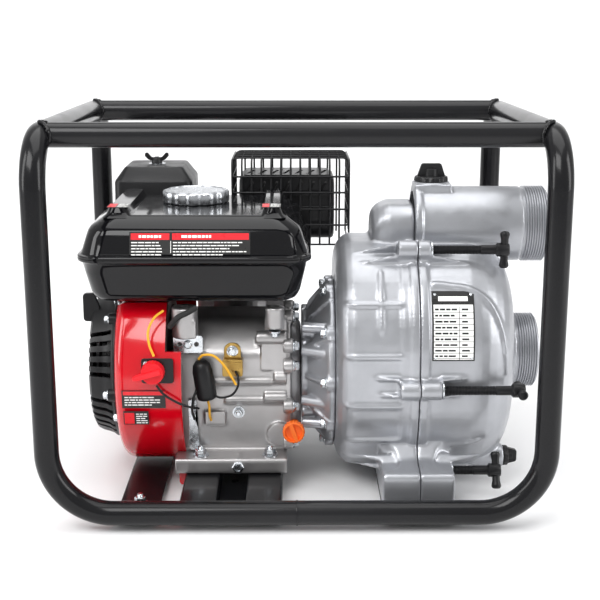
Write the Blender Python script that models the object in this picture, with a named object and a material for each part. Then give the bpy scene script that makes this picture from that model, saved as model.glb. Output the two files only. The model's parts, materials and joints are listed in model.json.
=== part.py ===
"""Portable 3-inch water pump with a small petrol engine, in a tube frame.

Metres, +Z up. The front (operator's side) faces -Y, the engine is at -X and the pump ports point to +X.
Local coordinates are measured from the middle of the frame, with Z = 0 at the underside of the bottom rails.
The empty "datum" moves them so that the world origin is under the middle of the bounding box.
"""

import math

import bmesh
import bpy
from mathutils import Vector

MM = 0.001
GAP = 0.3 * MM  # between pieces that touch
RUN = 0.05 * MM  # radial play between a shaft and its bore
THROUGH = 5 * MM  # how far a cutter runs past the face it opens

# Frame
TUBE_R = 12.5 * MM
TUBE_WALL = 1.5 * MM
FRAME_LENGTH = 550 * MM
FRAME_DEPTH = 450 * MM
FRAME_HEIGHT = 420 * MM
BEND_LOW = 68 * MM
BEND_TOP = 52 * MM
TOP_RAIL_Y = 168 * MM
TUBE_SIDES = 10
SHAFT_SIDES = 18

# Base strips and feet
STRIP_TOP = 3.5 * MM
STRIP_THICK = 4 * MM
LEFT_STRIP_X = -172.5 * MM
LEFT_STRIP_WIDTH = 45 * MM
FOOT_R = 15 * MM
FOOT_Y = 164 * MM
FOOT_STAND = 6 * MM

# Engine block
CRANK_Y = -22 * MM
CRANK_Z = 126 * MM
ENGINE_BASE_Z = 20 * MM
BLOCK_LEFT = -127 * MM
BLOCK_RIGHT = -16 * MM
ENGINE_RIGHT = 5 * MM
BLOCK_WALL = 5 * MM
FOOT_FRONT_Y = -121 * MM
FOOT_BACK_Y = 62 * MM
FOOT_TOP_Z = 38 * MM
BLOCK_FRONT_Y = -90 * MM
BLOCK_BACK_Y = 45 * MM
BLOCK_TOP_Z = 188 * MM
TANK_BOSS_X = (-125 * MM, -24 * MM)
TANK_BOSS_Y = -100 * MM
TANK_BOSS_R = 13 * MM
MAIN_HUB_R = 22 * MM
SIDE_HUB_R = 61 * MM
BEARING_DEPTH = 19 * MM
FIRST_FIN = 74 * MM  # along the cylinder axis
FIN_PITCH = 11 * MM
CYLINDER_TILT = math.radians(25)
CYLINDER_BORE_R = 34 * MM
CYLINDER_HALF = 44 * MM
FIN_REACH = 6 * MM
FIN_THICK = 3 * MM
DECK = 118 * MM  # from the crank axis to the top of the cylinder
HEAD_THICK = 28 * MM
VALVE_COVER_THICK = 26 * MM

# Crank train
JOURNAL_R = 12.5 * MM
CRANK_THROW = 22.5 * MM
CRANK_PIN_R = 12 * MM
WEB_THICK = 13 * MM
PIN_LENGTH = 30 * MM
SHAFT_END_X = 65 * MM
GEAR_MODULE = 2.67 * MM
CRANK_TEETH = 12
CAM_TEETH = 24
GEAR_THICK = 8 * MM
CAM_R = 8 * MM
PISTON_CROWN = 111 * MM
PISTON_HEIGHT = 48 * MM

# Fan cover, flywheel and recoil starter
FAN_LEFT = -203 * MM
FAN_R = 115 * MM
FAN_EYE_R = 84 * MM
SHEET = 2 * MM
TANK_CLEAR_Z = 214 * MM
FLYWHEEL_R = 82 * MM
FAN_BLADES = 8
FLYWHEEL_X = (-176 * MM, -148 * MM)
FLYWHEEL_HUB_X = (-194 * MM, -160 * MM)
FLYWHEEL_HUB_R = 24 * MM
STARTER_LEFT = -236 * MM
STARTER_R = 92 * MM
STARTER_NOSE_R = 73 * MM
STARTER_WALL = 2.5 * MM
STARTER_WAIST = -214 * MM
STARTER_SLOTS = 5
STARTER_SLOTS_FROM = (143, 197)  # degrees round the crank axis, where each group starts
STARTER_SLOT_STEP = 8
REEL_R = 62 * MM
REEL_LEFT = -229 * MM
REEL_RIGHT = -214 * MM
REEL_POST_R = 8 * MM
GRIP_LOW = (-232 * MM, 150 * MM)
GRIP_HIGH = (-206 * MM, 212 * MM)
GRIP_THICK = 24 * MM

# Fuel tank
TANK_LEFT = -240 * MM
TANK_RIGHT = 16 * MM
TANK_FRONT = -135 * MM
TANK_BACK = 85 * MM
TANK_SEAM_Z = 270 * MM
TANK_LOW_Z = 220 * MM
TANK_TOP_Z = 314 * MM
TANK_SHOULDER = 4 * MM
TANK_LIP = 4 * MM
CAP_X = -118 * MM
CAP_Y = 0 * MM
CAP_R = 39 * MM
CAP_HEIGHT = 14 * MM
NECK_R = 24 * MM
NECK_HEIGHT = 8 * MM

# Intake and exhaust
CARB_LOW = (-168 * MM, 100 * MM, 188 * MM)
CARB_HIGH = (-130 * MM, 132 * MM, 226 * MM)
BOWL_R = 19 * MM
BOWL_LOW_Z = 162 * MM
THROAT_Z = 206 * MM
FILTER_X = -179.5 * MM
FILTER_Y = 142.5 * MM
FILTER_HALF_X = 50.5 * MM
FILTER_HALF_Y = 52.5 * MM
FILTER_LOW_Z = 240 * MM
FILTER_SPLIT_Z = 262 * MM
FILTER_TOP_Z = 342 * MM
MUFFLER_LOW = (-72 * MM, 95 * MM, 250 * MM)
MUFFLER_HIGH = (48 * MM, 182 * MM, 330 * MM)
GUARD_LOW = (-80 * MM, 88 * MM, 245 * MM)
GUARD_HIGH = (66 * MM, 190 * MM, 352 * MM)
GUARD_WIRE = 2.6 * MM
GUARD_CELLS = (6, 2, 3)  # along X, Y and Z
MUFFLER_INLET_Y = 112 * MM
MUFFLER_INLET_LOW_Z = 236 * MM
TAILPIPE_Y = 150 * MM
TAILPIPE_Z = 300 * MM
TAILPIPE_R = 9 * MM

# Controls and small engine parts
SWITCH_X = -157 * MM
SWITCH_Z = 148 * MM
SWITCH_R = 13 * MM
DIPSTICK_X = -3.5 * MM
DIPSTICK_Z = 66 * MM
DIPSTICK_R = 13 * MM
DIPSTICK_STEM_R = 7 * MM
GOVERNOR_X = -118 * MM
GOVERNOR_Z = 46 * MM
GOVERNOR_PIN_R = 4 * MM
WIRE_R = 1.3 * MM

# Pump bodies
PUMP_Y = -20 * MM
PUMP_Z = 142 * MM
PUMP_HALF_Y = 130 * MM
PUMP_HALF_Z = 133 * MM
PUMP_CORNER = 112 * MM
PUMP_WALL = 6 * MM
FLANGE = 4 * MM
CASING_LEFT = 44 * MM
SPLIT_X = 134 * MM
COVER_RIGHT = 244 * MM
PORT_R = 43.95 * MM
PORT_BORE_R = 38 * MM
PORT_Y = -15 * MM
INLET_Z = 137 * MM
INLET_END = 283 * MM
OUTLET_Z = 290 * MM
OUTLET_END = 288 * MM
SEAL_R = 22 * MM
IMPELLER_R = 68 * MM
VANES = 4
FOOT_LEFT_X = 93 * MM
FOOT_RIGHT_X = 171 * MM
PUMP_FOOT_Y = 163 * MM  # from the middle of the casing to the foot's end face
PUMP_FOOT_TOP = 43 * MM
NOTCH_TOP = 70 * MM  # below the height where the notches would break through the pump's wall
CLAMP_ROD_R = 5.2 * MM
CLAMP_BAR_R = 5.5 * MM
CLAMP_BAR_HALF = 20.5 * MM
CLAMP_BOSS_R = 10.5 * MM
CLAMP_ROD_START = 118 * MM
DUCT_LOW_Z = 245 * MM
DUCT_TOP_Z = 316 * MM
DUCT_START = 86 * MM
DUCT_CORNER = 24 * MM
PRIMING_X = 156 * MM
PRIMING_BOSS_R = 20.5 * MM
PRIMING_TOP_Z = 340 * MM
PLUG_STEM_R = 14 * MM
DRAIN_Y = -80 * MM
DRAIN_Z = 27 * MM
DRAIN_BOSS_END = 240 * MM
DRAIN_STEM_R = 8 * MM

# Derived places
RAIL_X = FRAME_LENGTH / 2 - TUBE_R
RAIL_Y = FRAME_DEPTH / 2 - TUBE_R
TOP_Z = FRAME_HEIGHT - TUBE_R
STRIP_END_Y = RAIL_Y - math.sqrt(TUBE_R**2 - (TUBE_R - STRIP_TOP) ** 2) - GAP
CRANK = Vector((0, CRANK_Y, CRANK_Z))
SWITCH_FACE_Y = CRANK_Y - FAN_R - 3 * MM
BLOCK_X = (BLOCK_LEFT + BLOCK_RIGHT) / 2
CARB_MIDDLE = ((CARB_LOW[0] + CARB_HIGH[0]) / 2, (CARB_LOW[1] + CARB_HIGH[1]) / 2)
X, Y, Z = 0, 1, 2
AXES = (Vector((1, 0, 0)), Vector((0, 1, 0)), Vector((0, 0, 1)))
CYLINDER_AXIS = Vector((0, math.cos(CYLINDER_TILT), math.sin(CYLINDER_TILT)))


# ---------------------------------------------------------------- shapes


def skin(rings, loop=False):
    """A closed body through rings of points: capped at both ends, or joined into a loop."""
    body = bmesh.new()
    loops = [[body.verts.new(point) for point in ring] for ring in rings]
    pairs = list(zip(loops, loops[1:]))
    if loop:
        pairs.append((loops[-1], loops[0]))
    else:
        body.faces.new(loops[0])
        body.faces.new(loops[-1])
    for one, other in pairs:
        for i in range(len(one)):
            j = (i + 1) % len(one)
            body.faces.new((one[i], one[j], other[j], other[i]))
    bmesh.ops.recalc_face_normals(body, faces=body.faces[:])
    return body


def gathered(bodies):
    """Several bodies as one, for a row of like cutters or blades."""
    whole = bmesh.new()
    for body in bodies:
        mesh = bpy.data.meshes.new("gathered")
        body.to_mesh(mesh)
        whole.from_mesh(mesh)
        body.free()
        bpy.data.meshes.remove(mesh)
    return whole


def across(direction):
    """Two unit vectors at right angles to the direction and to each other."""
    along = Vector(direction).normalized()
    first = AXES[Y] if abs(along.x) > 0.9 else AXES[X]
    second = along.cross(first).normalized()
    return second.cross(along), second


def turned(profile, origin, direction, sides=24):
    """A profile of (radius, height) points turned about an axis. One that starts off the axis is a ring."""
    along = Vector(direction).normalized()
    first, second = across(along)
    body = bmesh.new()
    rings = []
    for radius, height in profile:
        middle = Vector(origin) + along * height
        turns = [2 * math.pi * (i + 0.5) / sides for i in range(sides if radius else 1)]
        spots = [middle + (first * math.cos(a) + second * math.sin(a)) * radius for a in turns]
        rings.append([body.verts.new(spot) for spot in spots])
    pairs = list(zip(rings, rings[1:]))
    if profile[0][0]:
        pairs.append((rings[-1], rings[0]))
    for one, other in pairs:
        for i in range(sides):
            j = (i + 1) % sides
            corners = (one[i % len(one)], one[j % len(one)], other[j % len(other)], other[i % len(other)])
            body.faces.new(list(dict.fromkeys(corners)))
    bmesh.ops.recalc_face_normals(body, faces=body.faces[:])
    return body


def rod(start, end, radius, sides=12):
    """A round bar from one point to another."""
    first, second = across(Vector(end) - Vector(start))
    rings = []
    for middle in (Vector(start), Vector(end)):
        turns = [2 * math.pi * (i + 0.5) / sides for i in range(sides)]
        rings.append([middle + (first * math.cos(a) + second * math.sin(a)) * radius for a in turns])
    return skin(rings)


def prism(outline, axis, low, high):
    """A flat outline, in the other two axes in order, extruded along one axis."""

    def place(point, level):
        spot = list(point)
        spot.insert(axis, level)
        return spot

    return skin([[place(point, level) for point in outline] for level in (low, high)])


def block(low, high):
    """A box between two corners."""
    outline = [(low[X], low[Y]), (high[X], low[Y]), (high[X], high[Y]), (low[X], high[Y])]
    return prism(outline, Z, low[Z], high[Z])


def filleted(points, radius, steps=4):
    """The points with each corner made an arc. The radius is one value, or one for each point."""
    points = [Vector(point) for point in points]
    radii = radius if isinstance(radius, list) else [radius] * len(points)
    result = []
    for i, corner in enumerate(points):
        if not radii[i]:
            result.append(corner)
            continue
        before = (points[i - 1] - corner).normalized()
        after = (points[(i + 1) % len(points)] - corner).normalized()
        half = before.angle(after) / 2
        centre = corner + (before + after).normalized() * (radii[i] / math.sin(half))
        start = corner + before * (radii[i] / math.tan(half)) - centre
        end = corner + after * (radii[i] / math.tan(half)) - centre
        for k in range(steps + 1):
            result.append(centre + start.slerp(end, k / steps).normalized() * radii[i])
    return result


def rounded(low, high, radius, steps=3):
    """A rectangle outline with round corners, in a plane."""
    corners = [(low[0], low[1]), (high[0], low[1]), (high[0], high[1]), (low[0], high[1])]
    return filleted(corners, radius, steps)


def lifted(outline, level):
    """A flat outline in X and Y, at a height."""
    return [(point[0], point[1], level) for point in outline]


def swept(path, radius, sides, wall=0):
    """A bar along a path, or a tube where it has a wall."""
    path = [Vector(point) for point in path]
    outer = []
    inner = []
    first = None
    for i, point in enumerate(path):
        ahead = path[min(i + 1, len(path) - 1)] - point
        behind = point - path[max(i - 1, 0)]
        along = (ahead.normalized() + behind.normalized()).normalized()
        first = along.orthogonal() if first is None else first
        first = (first - along * first.dot(along)).normalized()
        second = along.cross(first)
        spokes = [
            first * math.cos(2 * math.pi * k / sides) + second * math.sin(2 * math.pi * k / sides)
            for k in range(sides)
        ]
        outer.append([point + spoke * radius for spoke in spokes])
        inner.append([point + spoke * (radius - wall) for spoke in spokes])
    return skin(outer + inner[::-1], loop=True) if wall else skin(outer)


def bore_radius(shaft, sides):
    """The corner radius of a many-sided hole whose flats clear a turning shaft by the running play."""
    return (shaft + RUN) / math.cos(math.pi / sides)


def tilted(along, over, x):
    """A point by its distance along the cylinder axis and across it."""
    side = Vector((0, -CYLINDER_AXIS.z, CYLINDER_AXIS.y))
    return CRANK + AXES[X] * x + CYLINDER_AXIS * along + side * over


def tilted_block(start, end, half, low_x, high_x):
    """A box square to the cylinder axis."""
    ends = []
    for along in (start, end):
        ends.append(
            [
                tilted(along, -half, low_x),
                tilted(along, half, low_x),
                tilted(along, half, high_x),
                tilted(along, -half, high_x),
            ]
        )
    return skin(ends)


def spoke(turn, near, far, half, low_x, high_x):
    """A flat bar that runs outwards from the crank axis."""
    out = Vector((0, math.cos(turn), math.sin(turn)))
    side = Vector((0, -out.z, out.y)) * half
    rings = []
    for x in (low_x, high_x):
        start = CRANK + out * near + AXES[X] * x
        end = CRANK + out * far + AXES[X] * x
        rings.append([start - side, end - side, end + side, start + side])
    return skin(rings)


def gear_outline(teeth, centre, phase):
    """A gear's outline in Y and Z, with straight-sided teeth cut a little thin."""
    pitch_r = GEAR_MODULE * teeth / 2
    levels = [(-0.33, -1.2), (-0.13, 0.9), (0.13, 0.9), (0.33, -1.2)]
    outline = []
    for tooth in range(teeth):
        for share, height in levels:
            angle = phase + 2 * math.pi * (tooth + share) / teeth
            reach = pitch_r + height * GEAR_MODULE
            outline.append((centre.y + reach * math.cos(angle), centre.z + reach * math.sin(angle)))
    return outline


# ---------------------------------------------------------------- objects


def start():
    """An empty scene, and the datum that everything hangs on."""
    for old in list(bpy.data.objects):
        bpy.data.objects.remove(old)
    overhang = max(OUTLET_END - FRAME_LENGTH / 2, 0)
    datum = bpy.data.objects.new("datum", None)
    datum.location = (-overhang / 2, 0, FOOT_STAND)
    bpy.context.scene.collection.objects.link(datum)
    return datum


def paint(name, colour, roughness, metallic=0.0):
    """A Principled material."""
    material = bpy.data.materials.new(name)
    material.use_nodes = True
    shader = material.node_tree.nodes["Principled BSDF"]
    shader.inputs["Base Color"].default_value = (*colour, 1)
    shader.inputs["Roughness"].default_value = roughness
    shader.inputs["Metallic"].default_value = metallic
    material.diffuse_color = (*colour, 1)
    return material


DATUM = start()
BLACK_PAINT = paint("black_paint", (0.012, 0.012, 0.014), 0.22)
BLACK_PLASTIC = paint("black_plastic", (0.018, 0.018, 0.019), 0.45)
RED_PAINT = paint("red_paint", (0.55, 0.0, 0.006), 0.18)
SILVER_PAINT = paint("silver_paint", (0.48, 0.49, 0.53), 0.33, 0.7)
CAST_ALUMINIUM = paint("cast_aluminium", (0.33, 0.31, 0.3), 0.5, 0.8)
STEEL = paint("steel", (0.55, 0.56, 0.58), 0.3, 1.0)
ZINC = paint("zinc", (0.6, 0.62, 0.64), 0.28, 1.0)
GOLD_ZINC = paint("gold_zinc", (0.35, 0.22, 0.06), 0.35, 0.9)
CHROME = paint("chrome", (0.75, 0.76, 0.78), 0.12, 1.0)
RUBBER = paint("rubber", (0.02, 0.02, 0.02), 0.8)
ORANGE_PLASTIC = paint("orange_plastic", (1.0, 0.16, 0.02), 0.4)
RED_PLASTIC = paint("red_plastic", (0.75, 0.01, 0.03), 0.35)
YELLOW_WIRE = paint("yellow_wire", (0.9, 0.45, 0.03), 0.45)
FOAM = paint("foam", (0.08, 0.08, 0.07), 0.95)


def stored(name, body, pivot):
    """An object with its origin at the pivot, under the datum."""
    bmesh.ops.translate(body, vec=-Vector(pivot), verts=body.verts)
    mesh = bpy.data.meshes.new(name)
    body.to_mesh(mesh)
    body.free()
    obj = bpy.data.objects.new(name, mesh)
    obj.parent = DATUM
    obj.location = pivot
    bpy.context.scene.collection.objects.link(obj)
    return obj


def piece(name, body, material, pivot=(0, 0, 0)):
    """A visible part."""
    obj = stored(name, body, pivot)
    obj.data.materials.append(material)
    obj.data.shade_smooth()
    obj.data.set_sharp_from_angle(angle=math.radians(32))
    return obj


def combine(target, body, operation):
    """Joins a body to a part, or takes it away."""
    helper = stored(f"{target.name}_{operation.lower()}_{len(target.modifiers)}", body, (0, 0, 0))
    helper.hide_render = True
    helper.display_type = "WIRE"
    modifier = target.modifiers.new(helper.name, "BOOLEAN")
    modifier.operation = operation
    modifier.object = helper
    modifier.solver = "EXACT"


def fuse(target, *bodies):
    for body in bodies:
        combine(target, body, "UNION")


def cut(target, *bodies):
    for body in bodies:
        combine(target, body, "DIFFERENCE")


# ---------------------------------------------------------------- frame


def make_hoop(name, side):
    """Half of the bent frame: rail, corner, upright, side tube, and back down to the rear rail."""
    x = side * RAIL_X
    join = side * GAP / 2
    corners = [
        (join, -RAIL_Y, TUBE_R),
        (x, -RAIL_Y, TUBE_R),
        (x, -RAIL_Y, TOP_Z),
        (x, RAIL_Y, TOP_Z),
        (x, RAIL_Y, TUBE_R),
        (join, RAIL_Y, TUBE_R),
    ]
    path = filleted(corners, [0, BEND_LOW, BEND_TOP, BEND_TOP, BEND_LOW, 0], 4)
    piece(name, swept(path, TUBE_R, TUBE_SIDES, TUBE_WALL), BLACK_PAINT)


def make_top_rail(name, side):
    """A straight tube between the two side tubes."""
    half = RAIL_X - TUBE_R - GAP
    y = side * TOP_RAIL_Y
    path = [(-half, y, TOP_Z), (half, y, TOP_Z)]
    piece(name, swept(path, TUBE_R, TUBE_SIDES, TUBE_WALL), BLACK_PAINT)


def make_base():
    low = STRIP_TOP - STRIP_THICK
    half = LEFT_STRIP_WIDTH / 2
    left = block((LEFT_STRIP_X - half, -STRIP_END_Y, low), (LEFT_STRIP_X + half, STRIP_END_Y, STRIP_TOP))
    piece("base_strip_left", left, BLACK_PAINT)
    right = block((FOOT_LEFT_X, -STRIP_END_Y, low), (FOOT_RIGHT_X, STRIP_END_Y, STRIP_TOP))
    piece("pump_base_strip", right, BLACK_PAINT)
    top = ENGINE_BASE_Z - GAP
    inner = 15 * MM
    outline = [
        (BLOCK_LEFT, low),
        (BLOCK_LEFT, top),
        (BLOCK_X - inner, top),
        (BLOCK_X - inner, STRIP_TOP),
        (BLOCK_X + inner, STRIP_TOP),
        (BLOCK_X + inner, top),
        (BLOCK_RIGHT, top),
        (BLOCK_RIGHT, low),
        (BLOCK_RIGHT - STRIP_THICK, low),
        (BLOCK_RIGHT - STRIP_THICK, top - STRIP_THICK),
        (BLOCK_X + inner + STRIP_THICK, top - STRIP_THICK),
        (BLOCK_X + inner + STRIP_THICK, low),
        (BLOCK_X - inner - STRIP_THICK, low),
        (BLOCK_X - inner - STRIP_THICK, top - STRIP_THICK),
        (BLOCK_LEFT + STRIP_THICK, top - STRIP_THICK),
        (BLOCK_LEFT + STRIP_THICK, low),
    ]
    end = RAIL_Y - TUBE_R - GAP
    piece("engine_base_channel", prism(outline, Y, -end, end), BLACK_PAINT)


def make_feet():
    top = STRIP_TOP - STRIP_THICK - GAP
    for end, x in (("left", LEFT_STRIP_X), ("right", (FOOT_LEFT_X + FOOT_RIGHT_X) / 2)):
        for face, y in (("front", -FOOT_Y), ("rear", FOOT_Y)):
            profile = [(0, -FOOT_STAND), (FOOT_R, -FOOT_STAND), (FOOT_R + 2 * MM, top), (0, top)]
            piece(f"foot_{face}_{end}", turned(profile, (x, y, 0), AXES[Z], 16), RUBBER)


# ---------------------------------------------------------------- engine block


def block_outline(inset):
    """The crankcase's side outline in Y and Z, above its foot."""
    corners = [
        (BLOCK_FRONT_Y + inset, FOOT_TOP_Z - BLOCK_WALL + inset),
        (BLOCK_FRONT_Y + inset, 152 * MM),
        (-60 * MM, BLOCK_TOP_Z - inset),
        (-2 * MM, BLOCK_TOP_Z - inset),
        (BLOCK_BACK_Y - inset, 120 * MM),
        (BLOCK_BACK_Y - inset, FOOT_TOP_Z - BLOCK_WALL + inset),
    ]
    return filleted(corners, [6 * MM, 18 * MM, 18 * MM, 8 * MM, 8 * MM, 6 * MM], 3)


def make_crankcase():
    outer = prism(block_outline(0), X, BLOCK_LEFT, BLOCK_RIGHT)
    case = piece("crankcase", outer, CAST_ALUMINIUM)
    foot = block((BLOCK_LEFT, FOOT_FRONT_Y, ENGINE_BASE_Z), (BLOCK_RIGHT, FOOT_BACK_Y, FOOT_TOP_Z))
    barrel = tilted_block(30 * MM, DECK, CYLINDER_HALF, BLOCK_LEFT + 5 * MM, BLOCK_RIGHT - 5 * MM)
    fuse(case, foot, barrel)
    half = CYLINDER_HALF + FIN_REACH
    for k in range(4):
        level = FIRST_FIN + FIN_PITCH * k
        fuse(case, tilted_block(level, level + FIN_THICK, half, BLOCK_LEFT + GAP, BLOCK_RIGHT - GAP))
    cut(case, prism(block_outline(BLOCK_WALL), X, BLOCK_LEFT + BLOCK_WALL, BLOCK_RIGHT + THROUGH))
    cut(case, rod(tilted(30 * MM, 0, BLOCK_X), tilted(DECK + THROUGH, 0, BLOCK_X), CYLINDER_BORE_R, 28))
    hub_end = BLOCK_LEFT + BEARING_DEPTH
    fuse(case, rod(CRANK + AXES[X] * (BLOCK_LEFT + 1 * MM), CRANK + AXES[X] * hub_end, MAIN_HUB_R, 20))
    main = bore_radius(JOURNAL_R, SHAFT_SIDES)
    outside = CRANK + AXES[X] * (BLOCK_LEFT - THROUGH)
    cut(case, rod(outside, CRANK + AXES[X] * (hub_end + THROUGH), main, SHAFT_SIDES))
    cam = bore_radius(CAM_R, 12)
    cut(case, rod(CAM + AXES[X] * (BLOCK_LEFT + 2 * MM), CAM + AXES[X] * (BLOCK_LEFT + 12 * MM), cam, 12))
    pivot = Vector((GOVERNOR_X, BLOCK_FRONT_Y, GOVERNOR_Z))
    hole = bore_radius(GOVERNOR_PIN_R, 12)
    cut(case, rod(pivot + AXES[Y] * -THROUGH, pivot + AXES[Y] * 7 * MM, hole, 12))
    for x in TANK_BOSS_X:
        boss = rod((x, TANK_BOSS_Y, 186 * MM), (x, TANK_BOSS_Y, 209 * MM), TANK_BOSS_R, 20)
        arm = block((x - 10 * MM, TANK_BOSS_Y, 190 * MM), (x + 10 * MM, -50 * MM, 205 * MM))
        stay = block((x - 4 * MM, -60 * MM, 180 * MM), (x + 7 * MM, -45 * MM, 200 * MM))
        fuse(case, boss, arm, stay)


def make_side_cover():
    plate = prism(block_outline(0), X, BLOCK_RIGHT + GAP, -8 * MM)
    cover = piece("crankcase_side_cover", plate, CAST_ALUMINIUM)
    hub = rod(CRANK + AXES[X] * -11 * MM, CRANK + AXES[X] * ENGINE_RIGHT, SIDE_HUB_R, 28)
    ledge = block((BLOCK_RIGHT + GAP, -97 * MM, 50 * MM), (ENGINE_RIGHT, -60 * MM, 82 * MM))
    fuse(cover, hub, ledge)
    main = bore_radius(JOURNAL_R, SHAFT_SIDES)
    cut(cover, rod(CRANK + AXES[X] * -30 * MM, CRANK + AXES[X] * 20 * MM, main, SHAFT_SIDES))
    cam = bore_radius(CAM_R, 12)
    cut(cover, rod(CAM + AXES[X] * (BLOCK_RIGHT - 2 * MM), CAM + AXES[X] * -11 * MM, cam, 12))
    spot = Vector((DIPSTICK_X, 0, DIPSTICK_Z))
    hole = bore_radius(DIPSTICK_STEM_R, 16)
    cut(cover, rod(spot + AXES[Y] * -105 * MM, spot + AXES[Y] * -70 * MM, hole, 16))


def make_head():
    start = DECK + GAP
    end = DECK + HEAD_THICK
    low_x = BLOCK_LEFT + 5 * MM
    high_x = BLOCK_RIGHT - 5 * MM
    head = piece("cylinder_head", tilted_block(start, end, CYLINDER_HALF, low_x, high_x), CAST_ALUMINIUM)
    for k in range(2):
        level = start + 6 * MM + FIN_PITCH * k
        half = CYLINDER_HALF + FIN_REACH
        fuse(head, tilted_block(level, level + FIN_THICK, half, BLOCK_LEFT + GAP, BLOCK_RIGHT - GAP))
    cover = tilted_block(
        end + GAP, end + VALVE_COVER_THICK, CYLINDER_HALF - 8 * MM, low_x + 7 * MM, high_x - 7 * MM
    )
    piece("valve_cover", cover, BLACK_PAINT)


def make_plug_cap():
    """The rubber boot over the spark plug, on the underside of the head."""
    along = DECK + HEAD_THICK / 2
    top = tilted(along, -CYLINDER_HALF - FIN_REACH - GAP, BLOCK_X)
    away = (tilted(0, -1, 0) - tilted(0, 0, 0)).normalized()
    profile = [(0, 0), (9 * MM, 0), (10 * MM, 22 * MM), (7 * MM, 34 * MM), (0, 34 * MM)]
    piece("spark_plug_cap", turned(profile, top, away, 16), RUBBER, top)


# ---------------------------------------------------------------- crank train

CAM_REACH = GEAR_MODULE * (CRANK_TEETH + CAM_TEETH) / 2 + 0.2 * MM
CAM_ANGLE = math.radians(240)
CAM = CRANK + Vector((0, math.cos(CAM_ANGLE), math.sin(CAM_ANGLE))) * CAM_REACH
GEAR_X = -38 * MM


def web_outline():
    """A crank web: narrow round the pin, broad and heavy opposite it."""
    points = [(37, -13), (37, 13), (5, 24), (-18, 33), (-36, 14), (-36, -14), (-18, -33), (5, -24)]
    spots = [tilted(along * MM, over * MM, 0) for along, over in points]
    return [(spot.y, spot.z) for spot in spots]


def make_crankshaft():
    pin_left = BLOCK_X - PIN_LENGTH / 2
    pin_right = BLOCK_X + PIN_LENGTH / 2
    left = rod(CRANK + AXES[X] * -200 * MM, CRANK + AXES[X] * (pin_left - 2 * MM), JOURNAL_R, SHAFT_SIDES)
    shaft = piece("crankshaft", left, STEEL, CRANK)
    fuse(shaft, prism(web_outline(), X, pin_left - WEB_THICK, pin_left))
    pin = tilted(CRANK_THROW, 0, 0)
    reach = 1 * MM
    fuse(shaft, rod(pin + AXES[X] * (pin_left - reach), pin + AXES[X] * (pin_right + reach), CRANK_PIN_R))
    fuse(shaft, prism(web_outline(), X, pin_right, pin_right + WEB_THICK))
    seat_end = GEAR_X + GEAR_THICK + 2 * MM
    seat_r = min(JOURNAL_R, GEAR_MODULE * (CRANK_TEETH / 2 - 1.2)) - 0.5 * MM
    fuse(shaft, rod(CRANK + AXES[X] * (pin_right + 2 * MM), CRANK + AXES[X] * seat_end, seat_r, SHAFT_SIDES))
    journal_start = CRANK + AXES[X] * (seat_end - 1 * MM)
    fuse(shaft, rod(journal_start, CRANK + AXES[X] * SHAFT_END_X, JOURNAL_R, SHAFT_SIDES))
    fuse(shaft, prism(gear_outline(CRANK_TEETH, CRANK, CAM_ANGLE), X, GEAR_X, GEAR_X + GEAR_THICK))


def make_camshaft():
    body = rod(CAM + AXES[X] * (BLOCK_LEFT + 3 * MM), CAM + AXES[X] * -12 * MM, CAM_R)
    shaft = piece("camshaft", body, STEEL, CAM)
    phase = CAM_ANGLE + math.pi + math.pi / CAM_TEETH
    fuse(shaft, prism(gear_outline(CAM_TEETH, CAM, phase), X, GEAR_X, GEAR_X + GEAR_THICK))
    for x, lift in ((-117 * MM, 1), (-109 * MM, -1)):
        nose = CAM + Vector((0, 0, lift * 4 * MM))
        fuse(shaft, rod(nose + AXES[X] * x, nose + AXES[X] * (x + 6 * MM), 9 * MM, 12))


def make_piston():
    radius = CYLINDER_BORE_R * math.cos(math.pi / 28) - GAP
    top = PISTON_CROWN
    bottom = PISTON_CROWN - PISTON_HEIGHT
    profile = [
        (0, top),
        (radius, top),
        (radius, bottom),
        (radius - 4 * MM, bottom),
        (radius - 4 * MM, top - 7 * MM),
        (0, top - 7 * MM),
    ]
    piece("piston", turned(profile, CRANK + AXES[X] * BLOCK_X, CYLINDER_AXIS, 28), CAST_ALUMINIUM)


def make_flywheel():
    hole = bore_radius(JOURNAL_R, SHAFT_SIDES)
    rim = FLYWHEEL_R
    left, right = FLYWHEEL_X
    hub_left, hub_right = FLYWHEEL_HUB_X
    web = left + 10 * MM
    profile = [
        (hole, hub_left),
        (FLYWHEEL_HUB_R, hub_left),
        (FLYWHEEL_HUB_R, left),
        (rim, left),
        (rim, right),
        (rim - 14 * MM, right),
        (rim - 14 * MM, web),
        (FLYWHEEL_HUB_R, web),
        (FLYWHEEL_HUB_R, hub_right),
        (hole, hub_right),
    ]
    wheel = piece("flywheel", turned(profile, CRANK, AXES[X], SHAFT_SIDES), CAST_ALUMINIUM, CRANK)
    turns = [2 * math.pi * k / FAN_BLADES for k in range(FAN_BLADES)]
    blade_left = hub_left + 2 * MM
    blades = [spoke(turn, 46 * MM, rim - 2 * MM, 1.5 * MM, blade_left, left + 1 * MM) for turn in turns]
    fuse(wheel, gathered(blades))


# ---------------------------------------------------------------- fan cover and starter


def flat_topped(radius, x, top):
    """A ring round the crank axis, cut flat at the top to pass under the tank."""
    sides = 32
    ring = []
    for k in range(sides):
        turn = 2 * math.pi * (k + 0.5) / sides
        height = min(radius * math.sin(turn), top - CRANK_Z)
        ring.append((x, CRANK_Y + radius * math.cos(turn), CRANK_Z + height))
    return ring


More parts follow.
